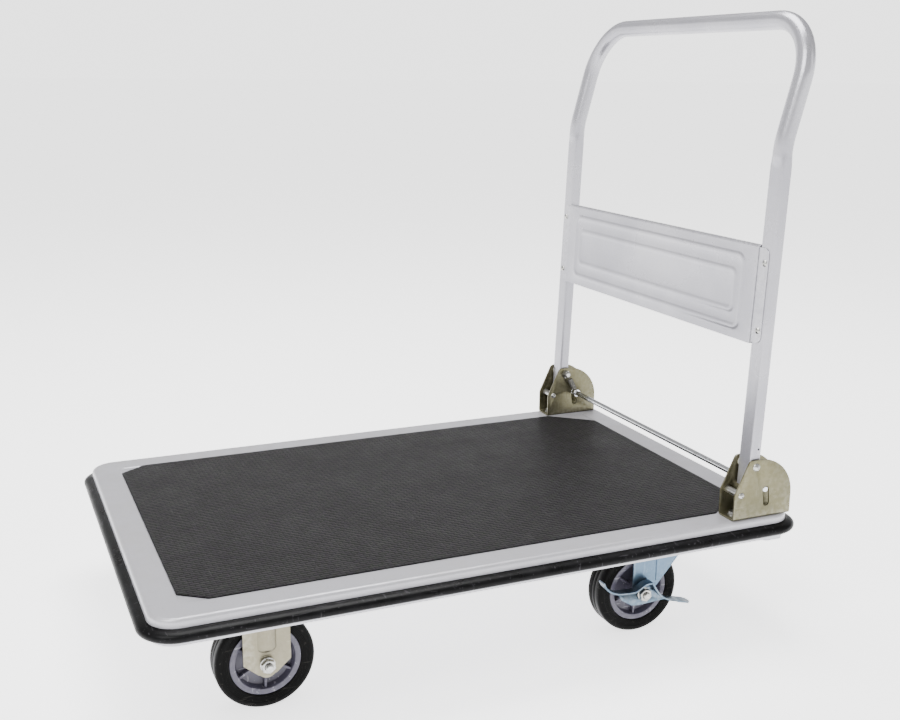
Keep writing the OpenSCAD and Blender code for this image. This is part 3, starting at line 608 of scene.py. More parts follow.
def zincFinish(name, base, tint, bright, rough=0.3, metallic=0.9, streak=0.25):
    material, tree, surface, where = startFinish(name, Specular_IOR_Level=0.5)
    marks = addGroup(tree, marksGroup, Vector=where, Grain=700.0, Patches=12.0)
    rub = addGroup(tree, rubGroup, Vector=where, Amount=0.1)
    settled = addGroup(tree, dustGroup, Vector=where, Amount=0.12)
    spangle = addNode(tree, "ShaderNodeTexVoronoi", {"Vector": where, "Scale": 300.0}).outputs["Color"]
    leaf = addNode(tree, "ShaderNodeSeparateColor", {"Color": spangle}).outputs["Red"]
    colour = addMix(tree, marks["Patches"], tone(base), tone(tint))
    colour = addMix(tree, addMath(tree, "MULTIPLY", leaf, streak), colour, tone(bright))
    colour = addMix(tree, addMath(tree, "MULTIPLY", marks["Scratches"], 0.3), colour, tone(bright))
    colour = addMix(tree, rub["Mask"], colour, tone("e6e4dc"))
    colour = addMix(tree, settled["Mask"], colour, tone("6f6a5f"))
    tree.links.new(colour, surface.inputs["Base Color"])
    dull = addMath(tree, "MULTIPLY", marks["Grain"], 0.16)
    dull = addMath(tree, "ADD", dull, addMath(tree, "MULTIPLY", settled["Mask"], 0.35))
    tree.links.new(addMath(tree, "ADD", dull, rough), surface.inputs["Roughness"])
    metal = addMath(tree, "SUBTRACT", metallic, addMath(tree, "MULTIPLY", settled["Mask"], 0.6))
    tree.links.new(metal, surface.inputs["Metallic"])
    height = addMath(tree, "ADD", marks["Grain"], addMath(tree, "MULTIPLY", leaf, 0.1))
    height = addMath(tree, "SUBTRACT", height, marks["Scratches"])
    addBump(tree, surface, height, 0.00005)
    return material


def brightFinish(name, base, tint, rough):
    material, tree, surface, where = startFinish(name, Metallic=1.0)
    marks = addGroup(tree, marksGroup, Vector=where, Grain=2200.0, Patches=60.0)
    turned = addNoise(tree, where, 0.0004, detail=1.0, stretch=(1, 1, 0.15))
    colour = addMix(tree, marks["Patches"], tone(base), tone(tint))
    colour = addMix(tree, addMath(tree, "MULTIPLY", marks["Scratches"], 0.5), colour, tone("8e8c86"))
    tree.links.new(colour, surface.inputs["Base Color"])
    dull = addMath(tree, "ADD", rough, addMath(tree, "MULTIPLY", marks["Patches"], 0.1))
    tree.links.new(
        addMath(tree, "ADD", dull, addMath(tree, "MULTIPLY", turned, 0.08)), surface.inputs["Roughness"]
    )
    addBump(tree, surface, turned, 0.00002)
    return material


def rubberFinish(name, base, worn, rough, dustAmount=0.35, dust="77736c", specular=0.5):
    material, tree, surface, where = startFinish(name, Specular_IOR_Level=specular)
    marks = addGroup(tree, marksGroup, Vector=where, Grain=500.0, Patches=26.0)
    rub = addGroup(tree, rubGroup, Vector=where, Amount=0.06)
    settled = addGroup(tree, dustGroup, Vector=where, Amount=dustAmount)
    colour = addMix(tree, marks["Patches"], tone(base), tone(worn))
    colour = addMix(tree, rub["Mask"], colour, tone(dust))
    colour = addMix(tree, addMath(tree, "MULTIPLY", marks["Scratches"], 0.35), colour, tone(dust))
    colour = addMix(tree, settled["Mask"], colour, tone(dust))
    tree.links.new(colour, surface.inputs["Base Color"])
    dull = addMath(tree, "MULTIPLY", settled["Mask"], 0.3)
    dull = addMath(tree, "ADD", dull, addMath(tree, "MULTIPLY", marks["Patches"], 0.12))
    tree.links.new(addMath(tree, "ADD", dull, rough), surface.inputs["Roughness"])
    addBump(tree, surface, marks["Grain"], 0.00012)
    return material


def plasticFinish(name, base, shade, rough, dustAmount=0.3):
    material, tree, surface, where = startFinish(name, Specular_IOR_Level=0.5)
    marks = addGroup(tree, marksGroup, Vector=where, Grain=1800.0, Patches=30.0)
    rub = addGroup(tree, rubGroup, Vector=where, Amount=0.1)
    settled = addGroup(tree, dustGroup, Vector=where, Amount=dustAmount)
    flow = addNoise(tree, where, 0.02, detail=5.0, rough=0.7)
    colour = addMix(tree, flow, tone(base), tone(shade))
    colour = addMix(tree, addMath(tree, "MULTIPLY", marks["Scratches"], 0.3), colour, tone("c4c2ca"))
    colour = addMix(tree, rub["Mask"], colour, tone("b9b7bd"))
    colour = addMix(tree, settled["Mask"], colour, tone("6f6a64"))
    tree.links.new(colour, surface.inputs["Base Color"])
    dull = addMath(tree, "MULTIPLY", marks["Patches"], 0.1)
    tree.links.new(addMath(tree, "ADD", dull, rough), surface.inputs["Roughness"])
    addBump(tree, surface, marks["Grain"], 0.00004)
    return material


def matFinish():  # ribbed vinyl: staggered dashes in rows along the deck
    material, tree, surface, where = startFinish("matVinyl", Specular_IOR_Level=0.07)
    marks = addGroup(tree, marksGroup, Vector=where, Grain=900.0, Patches=14.0)
    settled = addGroup(tree, dustGroup, Vector=where, Amount=0.15)
    wander = addNode(
        tree, "ShaderNodeTexNoise", {"Vector": where, "Scale": 60.0, "Detail": 1.0}
    ).outputs["Color"]
    shifted = addNode(
        tree, "ShaderNodeVectorMath", {0: wander, "Scale": 0.0016}, operation="SCALE"
    ).outputs[0]
    laid = addNode(tree, "ShaderNodeVectorMath", {0: where, 1: shifted}, operation="ADD").outputs[0]
    rows = addNode(
        tree,
        "ShaderNodeTexBrick",
        {
            "Vector": laid,
            "Scale": 1.0,
            "Brick Width": 0.0125,
            "Row Height": 0.0058,
            "Mortar Size": 0.0015,
            "Mortar Smooth": 0.5,
            "Color1": (0.25, 0.25, 0.25, 1),
            "Color2": (1, 1, 1, 1),
        },
        offset=0.5,
    )
    dashLight = addNode(tree, "ShaderNodeSeparateColor", {"Color": rows.outputs["Color"]}).outputs["Red"]
    raised = addMath(tree, "SUBTRACT", 1.0, rows.outputs["Fac"])
    fleck = addMath(tree, "MULTIPLY", raised, dashLight)
    tints = addNode(
        tree, "ShaderNodeTexNoise", {"Vector": where, "Scale": 160.0, "Detail": 2.0}
    ).outputs["Fac"]
    colour = addMix(tree, marks["Patches"], tone("181718"), tone("1b1a1b"))
    colour = addMix(tree, addRamp(tree, tints, 0.5, 0.7), colour, tone("1b1e1a"))
    colour = addMix(tree, addRamp(tree, tints, 0.5, 0.3), colour, tone("1e1a20"))
    colour = addMix(tree, addMath(tree, "MULTIPLY", fleck, 0.5), colour, tone("353435"))
    colour = addMix(tree, addMath(tree, "MULTIPLY", settled["Mask"], 0.08), colour, tone("6f6b66"))
    colour = addMix(tree, addMath(tree, "MULTIPLY", marks["Scratches"], 0.04), colour, tone("8d8b8b"))
    tree.links.new(colour, surface.inputs["Base Color"])
    tree.links.new(
        addMath(tree, "ADD", 0.46, addMath(tree, "MULTIPLY", marks["Patches"], 0.06)),
        surface.inputs["Roughness"],
    )
    height = addMath(tree, "ADD", raised, addMath(tree, "MULTIPLY", marks["Grain"], 0.25))
    addBump(tree, surface, height, 0.0005)
    return material


silverPaint = paintFinish("silverPaint", "b3b2b8", "a9a8ae", "968f86", dustAmount=0.2)
handlePaint = paintFinish(
    "handlePaint", "acabb1", "9c9ba3", "86817a", metallic=0.6, rough=0.24, dustAmount=0.1
)
matVinyl = matFinish()
bumperRubber = rubberFinish(
    "bumperRubber", "080808", "0d0d0e", 0.26, dustAmount=0.07, dust="4a484c", specular=0.08
)
tyreRubber = rubberFinish(
    "tyreRubber", "050505", "090909", 0.36, dustAmount=0.03, dust="3a3835", specular=0.06
)
hubPlastic = plasticFinish("hubPlastic", "4e4b5a", "403e4c", 0.36, dustAmount=0.12)
bushNylon = plasticFinish("bushNylon", "d9d8cf", "c6c4ba", 0.4)
yellowZinc = zincFinish("yellowZinc", "6c684f", "615e49", "7f7c68", rough=0.3, streak=0.12)
forkZinc = zincFinish("forkZinc", "827d6a", "787362", "979486", rough=0.26, streak=0.12)
blueZinc = zincFinish("blueZinc", "5d7286", "536472", "8094a6", rough=0.24, streak=0.12)
brightZinc = zincFinish("brightZinc", "b0b0ad", "9a9994", "d6d6d2", rough=0.2, metallic=0.95)
springWire = zincFinish("springWire", "6f6e6a", "5b5955", "a19f99", rough=0.25, metallic=0.95)
brightBar = brightFinish("brightBar", "e2e3e5", "c9cbcf", 0.14)
print("materials ready")

# deck: pressed pan, mat and bumper

panLow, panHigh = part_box("deck_pan")
matLow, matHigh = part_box("deck_mat")
deckTop = panHigh.z
deckLength = panHigh.x - panLow.x
deckWidth = panHigh.y - panLow.y

deckPan = dict(
    cornerRadius=34 * mm,
    edgeRadius=5 * mm,
    edgeSteps=5,
    border=38 * mm,  # from the skirt to the mat's recess
    recessCorner=9 * mm,
    skirt=33 * mm,
    lip=14 * mm,
    sheet=1.5 * mm,
)
mat = dict(
    thickness=2 * mm, frontCut=(35 * mm, 25 * mm), backCut=(65 * mm, 55 * mm), edge=0.5 * mm, wave=0.35 * mm
)


def roundedPlate(name, length, width, radius, z, segments=12):
    piece = startPiece(
        name, bpy.ops.mesh.primitive_plane_add, size=1, location=(0, 0, z)
    )
    bpy.ops.transform.resize(value=(length, width, 1))
    bpy.ops.mesh.bevel(offset=radius, segments=segments, affect="VERTICES")
    return piece


def riseBy(height):
    bpy.ops.mesh.extrude_region_move(TRANSFORM_OT_translate={"value": (0, 0, height)})


def makeDeckPan():
    d = deckPan
    low = deckTop - d["skirt"]

    def ring(inset, z):
        return (deckLength - 2 * inset, deckWidth - 2 * inset, d["cornerRadius"] - inset, z)

    def step(inset, down):
        inset += d["border"]
        return (deckLength - 2 * inset, deckWidth - 2 * inset, d["recessCorner"], deckTop - down)

    rings = [
        ring(d["lip"], low), ring(1.5 * mm, low), ring(0.5 * mm, low + 0.35 * mm), ring(0, low + 1.3 * mm)
    ]
    rings += [ring(0, low + 4 * mm), ring(0.25 * mm, low + 6 * mm), ring(0, low + 8 * mm)]
    rings += [ring(0, deckTop - d["edgeRadius"] - 2 * mm)]
    for k in range(d["edgeSteps"] + 1):
        turn = math.pi / 2 * k / d["edgeSteps"]
        r = d["edgeRadius"]
        rings.append(ring(r * (1 - math.cos(turn)), deckTop - r * (1 - math.sin(turn))))
    rings += [
        ring(d["edgeRadius"] + 2 * mm, deckTop), step(-3 * mm, 0), step(0, 0), step(0.5 * mm, 0.12 * mm)
    ]
    rings += [step(1.2 * mm, 0.5 * mm), step(1.9 * mm, 0.88 * mm), step(2.4 * mm, mm), step(9 * mm, mm)]
    pan = pressed("deckPan", rings)
    finishPiece(pan)
    applyModifier(pan, "SOLIDIFY", thickness=d["sheet"], offset=-1, use_even_offset=True)
    bpy.ops.object.mode_set(mode="EDIT")
    finishPiece(pan, 30, 0)
    return pan


def makeBumper():  # section of the strip: (out from the skirt, down from the deck's top)
    def ring(out, down):
        out *= mm
        return (
            deckLength + 2 * out, deckWidth + 2 * out, deckPan["cornerRadius"] + out, deckTop - down * mm
        )

    profile = [
        (13, 18.5), (12.6, 16.9), (11.6, 15.4), (10, 14.1), (7.6, 13.1), (4.6, 12.3), (1.6, 11.7),
        (0.9, 11.1),
    ]
    profile += [
        (0.3, 11), (0, 11.6), (0, 26), (3.2, 26), (6.6, 25.6), (9.4, 24.6), (11.4, 23.2), (12.6, 21.4)
    ]
    profile += [(13, 19.6)]
    strip = pressed("edgeBumper", [ring(*p) for p in profile], closed=True)
    finishPiece(strip, 40)
    return strip


def makeMat():
    m = mat
    low, high = matLow, matHigh
    base = high.z - m["thickness"]
    sheet = startPiece(
        "deckMat", bpy.ops.mesh.primitive_plane_add, size=1,
        location=((low.x + high.x) / 2, (low.y + high.y) / 2, base),
    )
    bpy.ops.transform.resize(value=(high.x - low.x, high.y - low.y, 1))
    for endX, (cutX, cutY), facing in ((low.x, m["frontCut"], -1), (high.x, m["backCut"], 1)):
        for side in (-1, 1):
            sideY = high.y * side
            bpy.ops.mesh.select_all(action="SELECT")
            bpy.ops.mesh.bisect(
                plane_co=(endX - facing * cutX, sideY, base),
                plane_no=(facing * cutY, side * cutX, 0),
                clear_outer=True,
            )
    bpy.ops.mesh.select_all(action="SELECT")
    bpy.ops.mesh.subdivide(number_cuts=1)
    pick(sheet, "EDGE", lambda c, e: len(e.link_faces) == 1)
    bpy.ops.mesh.subdivide(number_cuts=14)
    pick(sheet, "VERT", lambda c: abs(c.x) > 0)
    bpy.ops.mesh.dissolve_faces()
    pick(sheet, "VERT", lambda c: True)
    bpy.ops.transform.vertex_random(offset=m["wave"], seed=4)
    bpy.ops.transform.resize(value=(1, 1, 0), center_override=(0, 0, base))
    pick(sheet, "FACE", lambda c, f: True)
    riseBy(m["thickness"] - m["edge"])
    stepIn([(0.15 * mm, 0.3 * mm), (0.35 * mm, 0.2 * mm), (4 * mm, 0)])
    finishPiece(sheet, 30)
    return sheet


place(makeDeckPan(), "deck", "silver_paint", silverPaint, "deck_pan")
place(makeBumper(), "deck", "bumper_rubber", bumperRubber, "edge_bumper")
place(makeMat(), "deck", "mat_vinyl", matVinyl, "deck_mat")
print("deck ready")

# hinge brackets: folded channels with their spacers, screws and pivot bolts

joints = {j["name"]: j for j in frame["joints"]}
pivot = Vector(joints["handle_fold"]["pos_m"])
barMiddle = (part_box("foot_bar")[0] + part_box("foot_bar")[1]) / 2
bracketLow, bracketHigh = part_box("bracket_left")
bracketY = (bracketLow.y + bracketHigh.y) / 2  # the left one, on the -Y side
bracketWidth = bracketHigh.y - bracketLow.y

bracket = dict(
    sheet=2.5 * mm,
    bend=4.0 * mm,
    frontHeight=39 * mm,  # where the slanted front edge starts
    slantTop=(23 * mm, 83.5 * mm),  # from the front edge, above the deck
    backRadius=54 * mm,
    slot=(10 * mm, 19 * mm, 6),  # width, travel and tilt in degrees
    screws=(-20 * mm, 48 * mm),  # from the pivot
    spacer=(-22 * mm, 36 * mm),  # from the pivot, above the deck
)


def makeBracket():
    b = bracket
    low, high = bracketLow, bracketHigh
    channel = block("bracketLeft", (low.x - mm, low.y, low.z), (high.x + mm, high.y, high.z + 4 * mm))
    pick(channel, "FACE", lambda m, f: abs(f.normal.x) > 0.9 or f.normal.z > 0.9)
    bpy.ops.mesh.delete(type="FACE")
    pick(channel, "EDGE", lambda m, e: m.z < low.z + 0.1 * mm and abs(m.y - bracketY) > 5 * mm)
    bpy.ops.mesh.bevel(offset=b["bend"], segments=6)
    finishPiece(channel)
    applyModifier(channel, "SOLIDIFY", thickness=b["sheet"], offset=-1, use_even_offset=True)
    front, top = low.x, low.z
    side = [(front, low.z - mm), (high.x, low.z - mm)]
    side += arcPoints((high.x - b["backRadius"], high.z - b["backRadius"]), b["backRadius"], 0, 90, 18)
    side += arcPoints((front + b["slantTop"][0] + 4 * mm, high.z - 8 * mm), 8 * mm, 97, 154, 5)
    side += [(front + 1 * mm, top + b["frontHeight"]), (front, top + b["frontHeight"] - 4 * mm)]
    outline = cutout("bracketSide", side, bracketWidth + 6 * mm, start=low.y - 3 * mm)
    channel = combine(channel, outline, "INTERSECT")
    width, travel, tilt = b["slot"]
    lean = math.radians(tilt)
    foot = (barMiddle.x + travel * math.sin(lean), barMiddle.z - travel * math.cos(lean))
    slot = arcPoints((barMiddle.x, barMiddle.z), width / 2, tilt, tilt + 180, 10)
    slot += arcPoints(foot, width / 2, tilt + 180, tilt + 360, 10)
    cuts = [cutout("slot", slot, bracketWidth + 6 * mm, start=low.y - 3 * mm)]
    for (x, z), radius in (
        ((pivot.x, pivot.z), 4.05 * mm), ((pivot.x + b["spacer"][0], top + b["spacer"][1]), 3.1 * mm)
    ):
        hole = [
            (-3 * mm, 0), (-3 * mm, radius), (bracketWidth + 3 * mm, radius), (bracketWidth + 3 * mm, 0)
        ]
        cuts.append(turned("hole", hole, (x, low.y, z), "Y", 32))
    for x in b["screws"]:
        hole = [(-mm, 0), (-mm, 4.5 * mm), (4 * mm, 4.5 * mm), (4 * mm, 0)]
        cuts.append(turned("hole", hole, (pivot.x + x, bracketY, top), "Z", 32))
    for tool in cuts:
        channel = combine(channel, tool, "DIFFERENCE")
    return softenEdges(channel, 0.35 * mm, 2, 50, 40)


def makeSpacer():
    b = bracket
    inner = bracketWidth - 2 * b["sheet"]
    centre = (pivot.x + b["spacer"][0], bracketY - inner / 2, bracketLow.z + b["spacer"][1])
    tube = [
        (0, 3.1), (0, 4.6), (0.4, 5.0), (inner / mm - 0.4, 5.0), (inner / mm, 4.6), (inner / mm, 3.1),
        (0, 3.1),
    ]
    return turned("bracketSpacerLeft", [(a * mm, r * mm) for a, r in tube], centre, "Y", 40)


# a domed head on each face of the bracket
def makeRivetedEnds(name, centre, radius, height, shank, inner=True):
    heads = []
    for outwards in (-1, 1) if inner else (-1,):
        profile = [(outwards * a, r) for a, r in domeProfile(radius, height, 0.3, 0.5 * mm)]
        at = (centre[0], bracketY + outwards * bracketWidth / 2, centre[1])
        heads.append(turned("head", profile, at, "Y", 40))
    half = bracketWidth / 2
    pin = [(-half, 0), (-half, shank), (half, shank), (half, 0)]
    heads.append(turned("shank", pin, (centre[0], bracketY, centre[1]), "Y", 32))
    return joinPieces(name, heads)


def makePivotBolt():
    heads = []
    profile = [(-a, r) for a, r in domeProfile(5.8 * mm, 3.5 * mm, 0.28, 0.7 * mm)]
    heads.append(turned("head", profile, (pivot.x, bracketLow.y, pivot.z), "Y", 48))
    boltEnd = min(v.co.y for v in nodes["pivot_bolts"].data.vertices if v.co.y > 0)
    run = [
        (0, 0), (0, 4 * mm), (abs(bracketLow.y) - boltEnd - 0.6 * mm, 4 * mm),
        (abs(bracketLow.y) - boltEnd, 3.4 * mm),
    ]
    run.append((abs(bracketLow.y) - boltEnd, 0))
    heads.append(turned("shank", run, (pivot.x, bracketLow.y, pivot.z), "Y", 32))
    return joinPieces("pivotBoltLeft", heads)


def makeBracketScrew(x):
    head = hexNut("bracketScrew", 13 * mm, 4.4 * mm, 0)
    washer = turned(
        "washer", [(0, 0), (0, 8.2 * mm), (1.1 * mm, 8.2 * mm), (1.4 * mm, 7.6 * mm), (1.4 * mm, 0)],
        axis="Z", steps=40,
    )
    settle(head, (0, 0, 17), (0, 0, 1.2 * mm))
    shank = turned(
        "shank", [(-15 * mm, 0), (-15 * mm, 3.4 * mm), (-14.2 * mm, 4 * mm), (0, 4 * mm), (0, 0)], axis="Z",
        steps=32,
    )
    screw = joinPieces("bracketScrew", [head, washer, shank])
    return settle(screw, (0, 0, 0), (pivot.x + x, bracketY, bracketLow.z + bracket["sheet"]))


# the left one is modelled, the right one is its mirror
def bothSides(left, name, body, slotName, material, *cadNodes):
    right = copyPiece(left, name + "Right", mirrorY=True)
    left.name = left.data.name = name + "Left"
    place(left, body.format("left"), slotName, material, *[n.format("left") for n in cadNodes])
    place(right, body.format("right"), slotName, material, *[n.format("right") for n in cadNodes])
    return left, right


bothSides(makeBracket(), "bracket", "deck", "yellow_zinc", yellowZinc, "bracket_{}")
bothSides(makeSpacer(), "bracketSpacer", "deck", "bright_zinc", brightZinc, "bracket_spacers")
spacerAt = (pivot.x + bracket["spacer"][0], bracketLow.z + bracket["spacer"][1])
bothSides(
    makeRivetedEnds(
        "spacerRivet", spacerAt, 4.6 * mm, 2.4 * mm, 3 * mm
    ), "spacerRivet", "deck", "bright_zinc", brightZinc,
    "spacer_rivets",
)
bothSides(makePivotBolt(), "pivotBolt", "deck", "bright_zinc", brightZinc, "pivot_bolts")
for end, x in (("Front", bracket["screws"][0]), ("Back", bracket["screws"][1])):
    bothSides(
        makeBracketScrew(x), "bracketScrew" + end, "deck", "bright_zinc", brightZinc, "bracket_screws"
    )
print("brackets ready")

# handle: bent tube with flattened legs, pressed panel and rivets, drawn upright at the pivot

handle = dict(
    lean=2.4,  # degrees backwards
    height=588 * mm,
    bendHeight=430 * mm,
    bendAngle=12.7,
    bendRadius=120 * mm,
    topRadius=78 * mm,
    tube=25 * mm,
    wall=1.5 * mm,
    leg=(17 * mm, 26 * mm, 3.2 * mm),  # along the deck, across it, edge radius
    foot=30 * mm,
    holeHeight=24 * mm,  # small drain hole above the pivot
    holeShift=3 * mm,
)
panel = dict(
    low=166 * mm,
    height=133 * mm,
    sheet=1.2 * mm,
    roll=6.5 * mm,
    flange=9 * mm,
    tab=(7 * mm, 10 * mm),  # reach past the leg's middle, corner radius
    # in from top and side, corner radius, height
    beads=((16 * mm, 28 * mm, 12 * mm, 1.5 * mm), (38 * mm, 43 * mm, 9 * mm, 1.3 * mm)),
    rivets=(20 * mm, 110 * mm),  # above the panel's lower edge
)
legY = bracketY  # the left leg, on the -Y side


def makeHandleTube():
    h = handle
    depth, width, edge = h["leg"]
    bendRun = h["bendRadius"] * math.tan(math.radians(h["bendAngle"] / 2))
    rise = (h["height"] - h["bendHeight"]) / math.cos(math.radians(h["bendAngle"])) - h["topRadius"]
    tube = startPiece(
        "handleTube", bpy.ops.mesh.primitive_plane_add, size=1, location=(0, legY, -h["foot"])
    )
    bpy.ops.transform.resize(value=(depth, width, 1), center_override=(0, legY, -h["foot"]))
    bpy.ops.mesh.subdivide(number_cuts=1)
    pick(tube, "FACE", lambda m, f: True)
    bpy.ops.mesh.dissolve_limited(angle_limit=0.01)
    pick(tube, "VERT", lambda c: abs(c.x) > depth / 2 - 0.1 * mm and abs(c.y - legY) > width / 2 - 0.1 * mm)
    bpy.ops.mesh.bevel(offset=edge, segments=6, affect="VERTICES")
    pick(tube, "EDGE", lambda m, e: e.calc_length() > 4 * mm)
    bpy.ops.mesh.subdivide(number_cuts=4)
    bpy.ops.mesh.select_all(action="SELECT")
    bpy.ops.mesh.delete(type="ONLY_FACE")
    bpy.ops.mesh.select_all(action="SELECT")

    def extend(step):
        bpy.ops.mesh.extrude_region_move(TRANSFORM_OT_translate={"value": step})

    neck = 18 * mm
    straight = h["bendHeight"] - bendRun - neck
    extend((0, 0, h["foot"] + 8 * mm))
    for part in range(6):
        extend((0, 0, (straight - 8 * mm) / 6))
    for share in (0.08, 0.25, 0.45, 0.7, 1.0):  # the flattened leg turns round over a short neck
        extend((0, 0, neck / 5))
        bpy.ops.transform.tosphere(value=share)
    mesh = bmesh.from_edit_mesh(tube.data)
    ring = [v.co for v in mesh.verts if v.select]
    reach = sum(math.hypot(c.x, c.y - legY) for c in ring) / len(ring)
    grow = h["tube"] / 2 / reach
    bpy.ops.transform.resize(value=(grow, grow, 1), center_override=(0, legY, h["bendHeight"] - bendRun))
    tilt = math.radians(h["bendAngle"])
    bpy.ops.mesh.spin(
        steps=5, angle=-tilt, center=(h["bendRadius"], legY, h["bendHeight"] - bendRun), axis=(0, 1, 0)
    )
    along = Vector((math.sin(tilt), 0, math.cos(tilt)))
    for part in range(3):
        extend(along * (rise - bendRun) / 3)
    corner = Vector((0, legY, h["bendHeight"])) + along * rise
    centre = corner + Vector((0, h["topRadius"], 0))
    bpy.ops.mesh.spin(steps=16, angle=-math.pi / 2, center=centre, axis=along.cross(Vector((0, 1, 0))))
    for part in range(3):
        extend((0, (abs(legY) - h["topRadius"]) / 3, 0))
    finishPiece(tube, 35)
    applyModifier(tube, "MIRROR", use_axis=(False, True, False), merge_threshold=0.05 * mm)
    bpy.ops.object.mode_set(mode="EDIT")
    finishPiece(tube, 30)
    applyModifier(tube, "SOLIDIFY", thickness=h["wall"], offset=-1, use_even_offset=True)
    hole = [(-4 * mm, 0), (-4 * mm, 1.6 * mm), (4 * mm, 1.6 * mm), (4 * mm, 0)]
    for side in (-1, 1):
        at = (h["holeShift"], side * (abs(bracketY) + width / 2), h["holeHeight"])
        tube = combine(tube, turned("drill", hole, at, "Y", 24), "DIFFERENCE")
    clearPicks()
    tube.select_set(True)
    bpy.context.view_layer.objects.active = tube
    bpy.ops.object.shade_smooth_by_angle(angle=math.radians(30))
    return settle(tube, (0, h["lean"], 0), pivot)


def makeHandlePanel():
    p = panel
    long = 2 * (abs(bracketY) - handle["leg"][1] / 2 - 0.5 * mm)
    tall = p["height"] - p["roll"] / 2
    rings = [(tall, long, 0.6 * mm, 0), (tall - 8 * mm, long - 8 * mm, 2 * mm, 0)]
    for inTop, inSide, corner, beadHeight in p["beads"]:
        for off, up in ((5, 0), (3.4, 0.35), (1.6, 0.85), (0, 1.0), (-1.6, 0.85), (-3.4, 0.35), (-5, 0)):
            rings.append(
                (
                    tall - 2 * inTop + 2 * off * mm,
                    long - 2 * inSide + 2 * off * mm,
                    corner + off * mm * 0.8,
                    up * beadHeight,
                )
            )
    sheet = pressed("handlePanel", rings)
    finishPiece(sheet, 30)
    applyModifier(sheet, "SOLIDIFY", thickness=p["sheet"], offset=-1, use_even_offset=True)
    flap = block(
        "flap", (-tall / 2, -long / 2, -p["flange"]), (-tall / 2 + p["sheet"], long / 2, -0.3 * mm)
    )
    finishPiece(flap)
    sheet = combine(sheet, flap, "UNION")
    reach = 2 * (abs(bracketY) + p["tab"][0])
    tab = roundedPlate("tab", p["height"] - 6 * mm, reach, p["tab"][1], -p["sheet"] + 0.02 * mm, 8)
    riseBy(p["sheet"] - 0.06 * mm)
    finishPiece(tab)
    settle(tab, (0, 0, 0), ((p["height"] - tall) / 2 - 0.2 * mm, 0, 0))
    ends = block("ends", (-tall, -long / 2 + 6 * mm, -5 * mm), (tall, long / 2 - 6 * mm, 5 * mm))
    finishPiece(ends)
    tab = combine(tab, ends, "DIFFERENCE")
    sheet = combine(sheet, tab, "UNION")
    roll = turned(
        "roll",
        [
            (-long / 2, 1.9 * mm), (-long / 2, 2.9 * mm), (-long / 2 + 0.4 * mm, p["roll"] / 2),
            (long / 2 - 0.4 * mm, p["roll"] / 2), (long / 2, 2.9 * mm), (long / 2, 1.9 * mm),
            (-long / 2, 1.9 * mm),
        ],
        (tall / 2, 0, -p["roll"] / 2),
        "Y",
        24,
    )
    sheet = joinPieces("handlePanel", [sheet, roll])
    softenEdges(sheet, 0.25 * mm, 1, 60, 35)
    settle(sheet, (0, -90, 0), (-handle["leg"][0] / 2 - p["sheet"], 0, p["low"] + tall / 2))
    return settle(sheet, (0, handle["lean"], 0), pivot)


def makePanelRivet():
    profile = domeProfile(4.5 * mm, 3.0 * mm, 0.26, 0.5 * mm)
    head = turned("rivetHead", profile, axis="Z", steps=40)
    shank = turned(
        "rivetShank", [(0, 0), (0, 2 * mm), (-4 * mm, 2 * mm), (-4.4 * mm, 1.6 * mm), (-4.4 * mm, 0)],
        axis="Z", steps=24,
    )
    return joinPieces("panelRivet", [head, shank])


place(makeHandleTube(), "handle", "silver_paint", handlePaint, "handle_tube")
place(makeHandlePanel(), "handle", "silver_paint", handlePaint, "handle_panel")
rivets = []
for side in (-1, 1):
    for up in panel["rivets"]:
        rivet = makePanelRivet()
        settle(rivet, (0, -90, 0), (-handle["leg"][0] / 2 - panel["sheet"], side * legY, panel["low"] + up))
        rivets.append(settle(rivet, (0, handle["lean"], 0), pivot))
place(joinPieces("panelRivets", rivets), "handle", "bright_zinc", brightZinc, "panel_rivets")
print("handle ready")

# foot bar with its collars, and the two springs that pull it up

springs = dict(wire=1.6 * mm, outer=9.4 * mm, start=9.2 * mm, end=29.6 * mm, turns=12.0)
bar = dict(collarWidth=3 * mm, chamfer=0.8 * mm)


def makeFootBar():
    low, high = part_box("foot_bar")
    r, half, cut = (high.z - low.z) / 2, (high.y - low.y) / 2, bar["chamfer"]
    rod = [(-half, 0), (-half, r - cut), (-half + cut, r)]
    rod += [
        (-half + 33 * mm, r), (-half + 33.3 * mm, r - 0.3 * mm), (-half + 34.6 * mm, r - 0.3 * mm),
        (-half + 34.9 * mm, r),
    ]
    rod += [(-a, b) for a, b in reversed(rod)]
    return turned("footBar", rod, barMiddle, "Y", 40)


def makeCollar(side):
    low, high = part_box("bar_collars")
    out, w = (high.z - low.z) / 2, bar["collarWidth"]
    inner = (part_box("foot_bar")[1].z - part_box("foot_bar")[0].z) / 2
    ring = [
        (0, inner), (0, out - 0.4 * mm), (0.4 * mm, out), (w - 0.4 * mm, out), (w, out - 0.4 * mm),
        (w, inner), (0, inner),
    ]
    start = low.y if side < 0 else high.y - w
    return turned("barCollar", ring, (barMiddle.x, start, barMiddle.z), "Y", 36)


def makeEye(radius, at):  # a closed loop of wire
    eye = startPiece(
        "eye", bpy.ops.mesh.primitive_torus_add, major_radius=radius,
        minor_radius=springs["wire"] / 2, major_segments=36,
        minor_segments=10, rotation=(math.pi / 2, 0, 0), location=at,
    )
    finishPiece(eye, 60)
    return eye


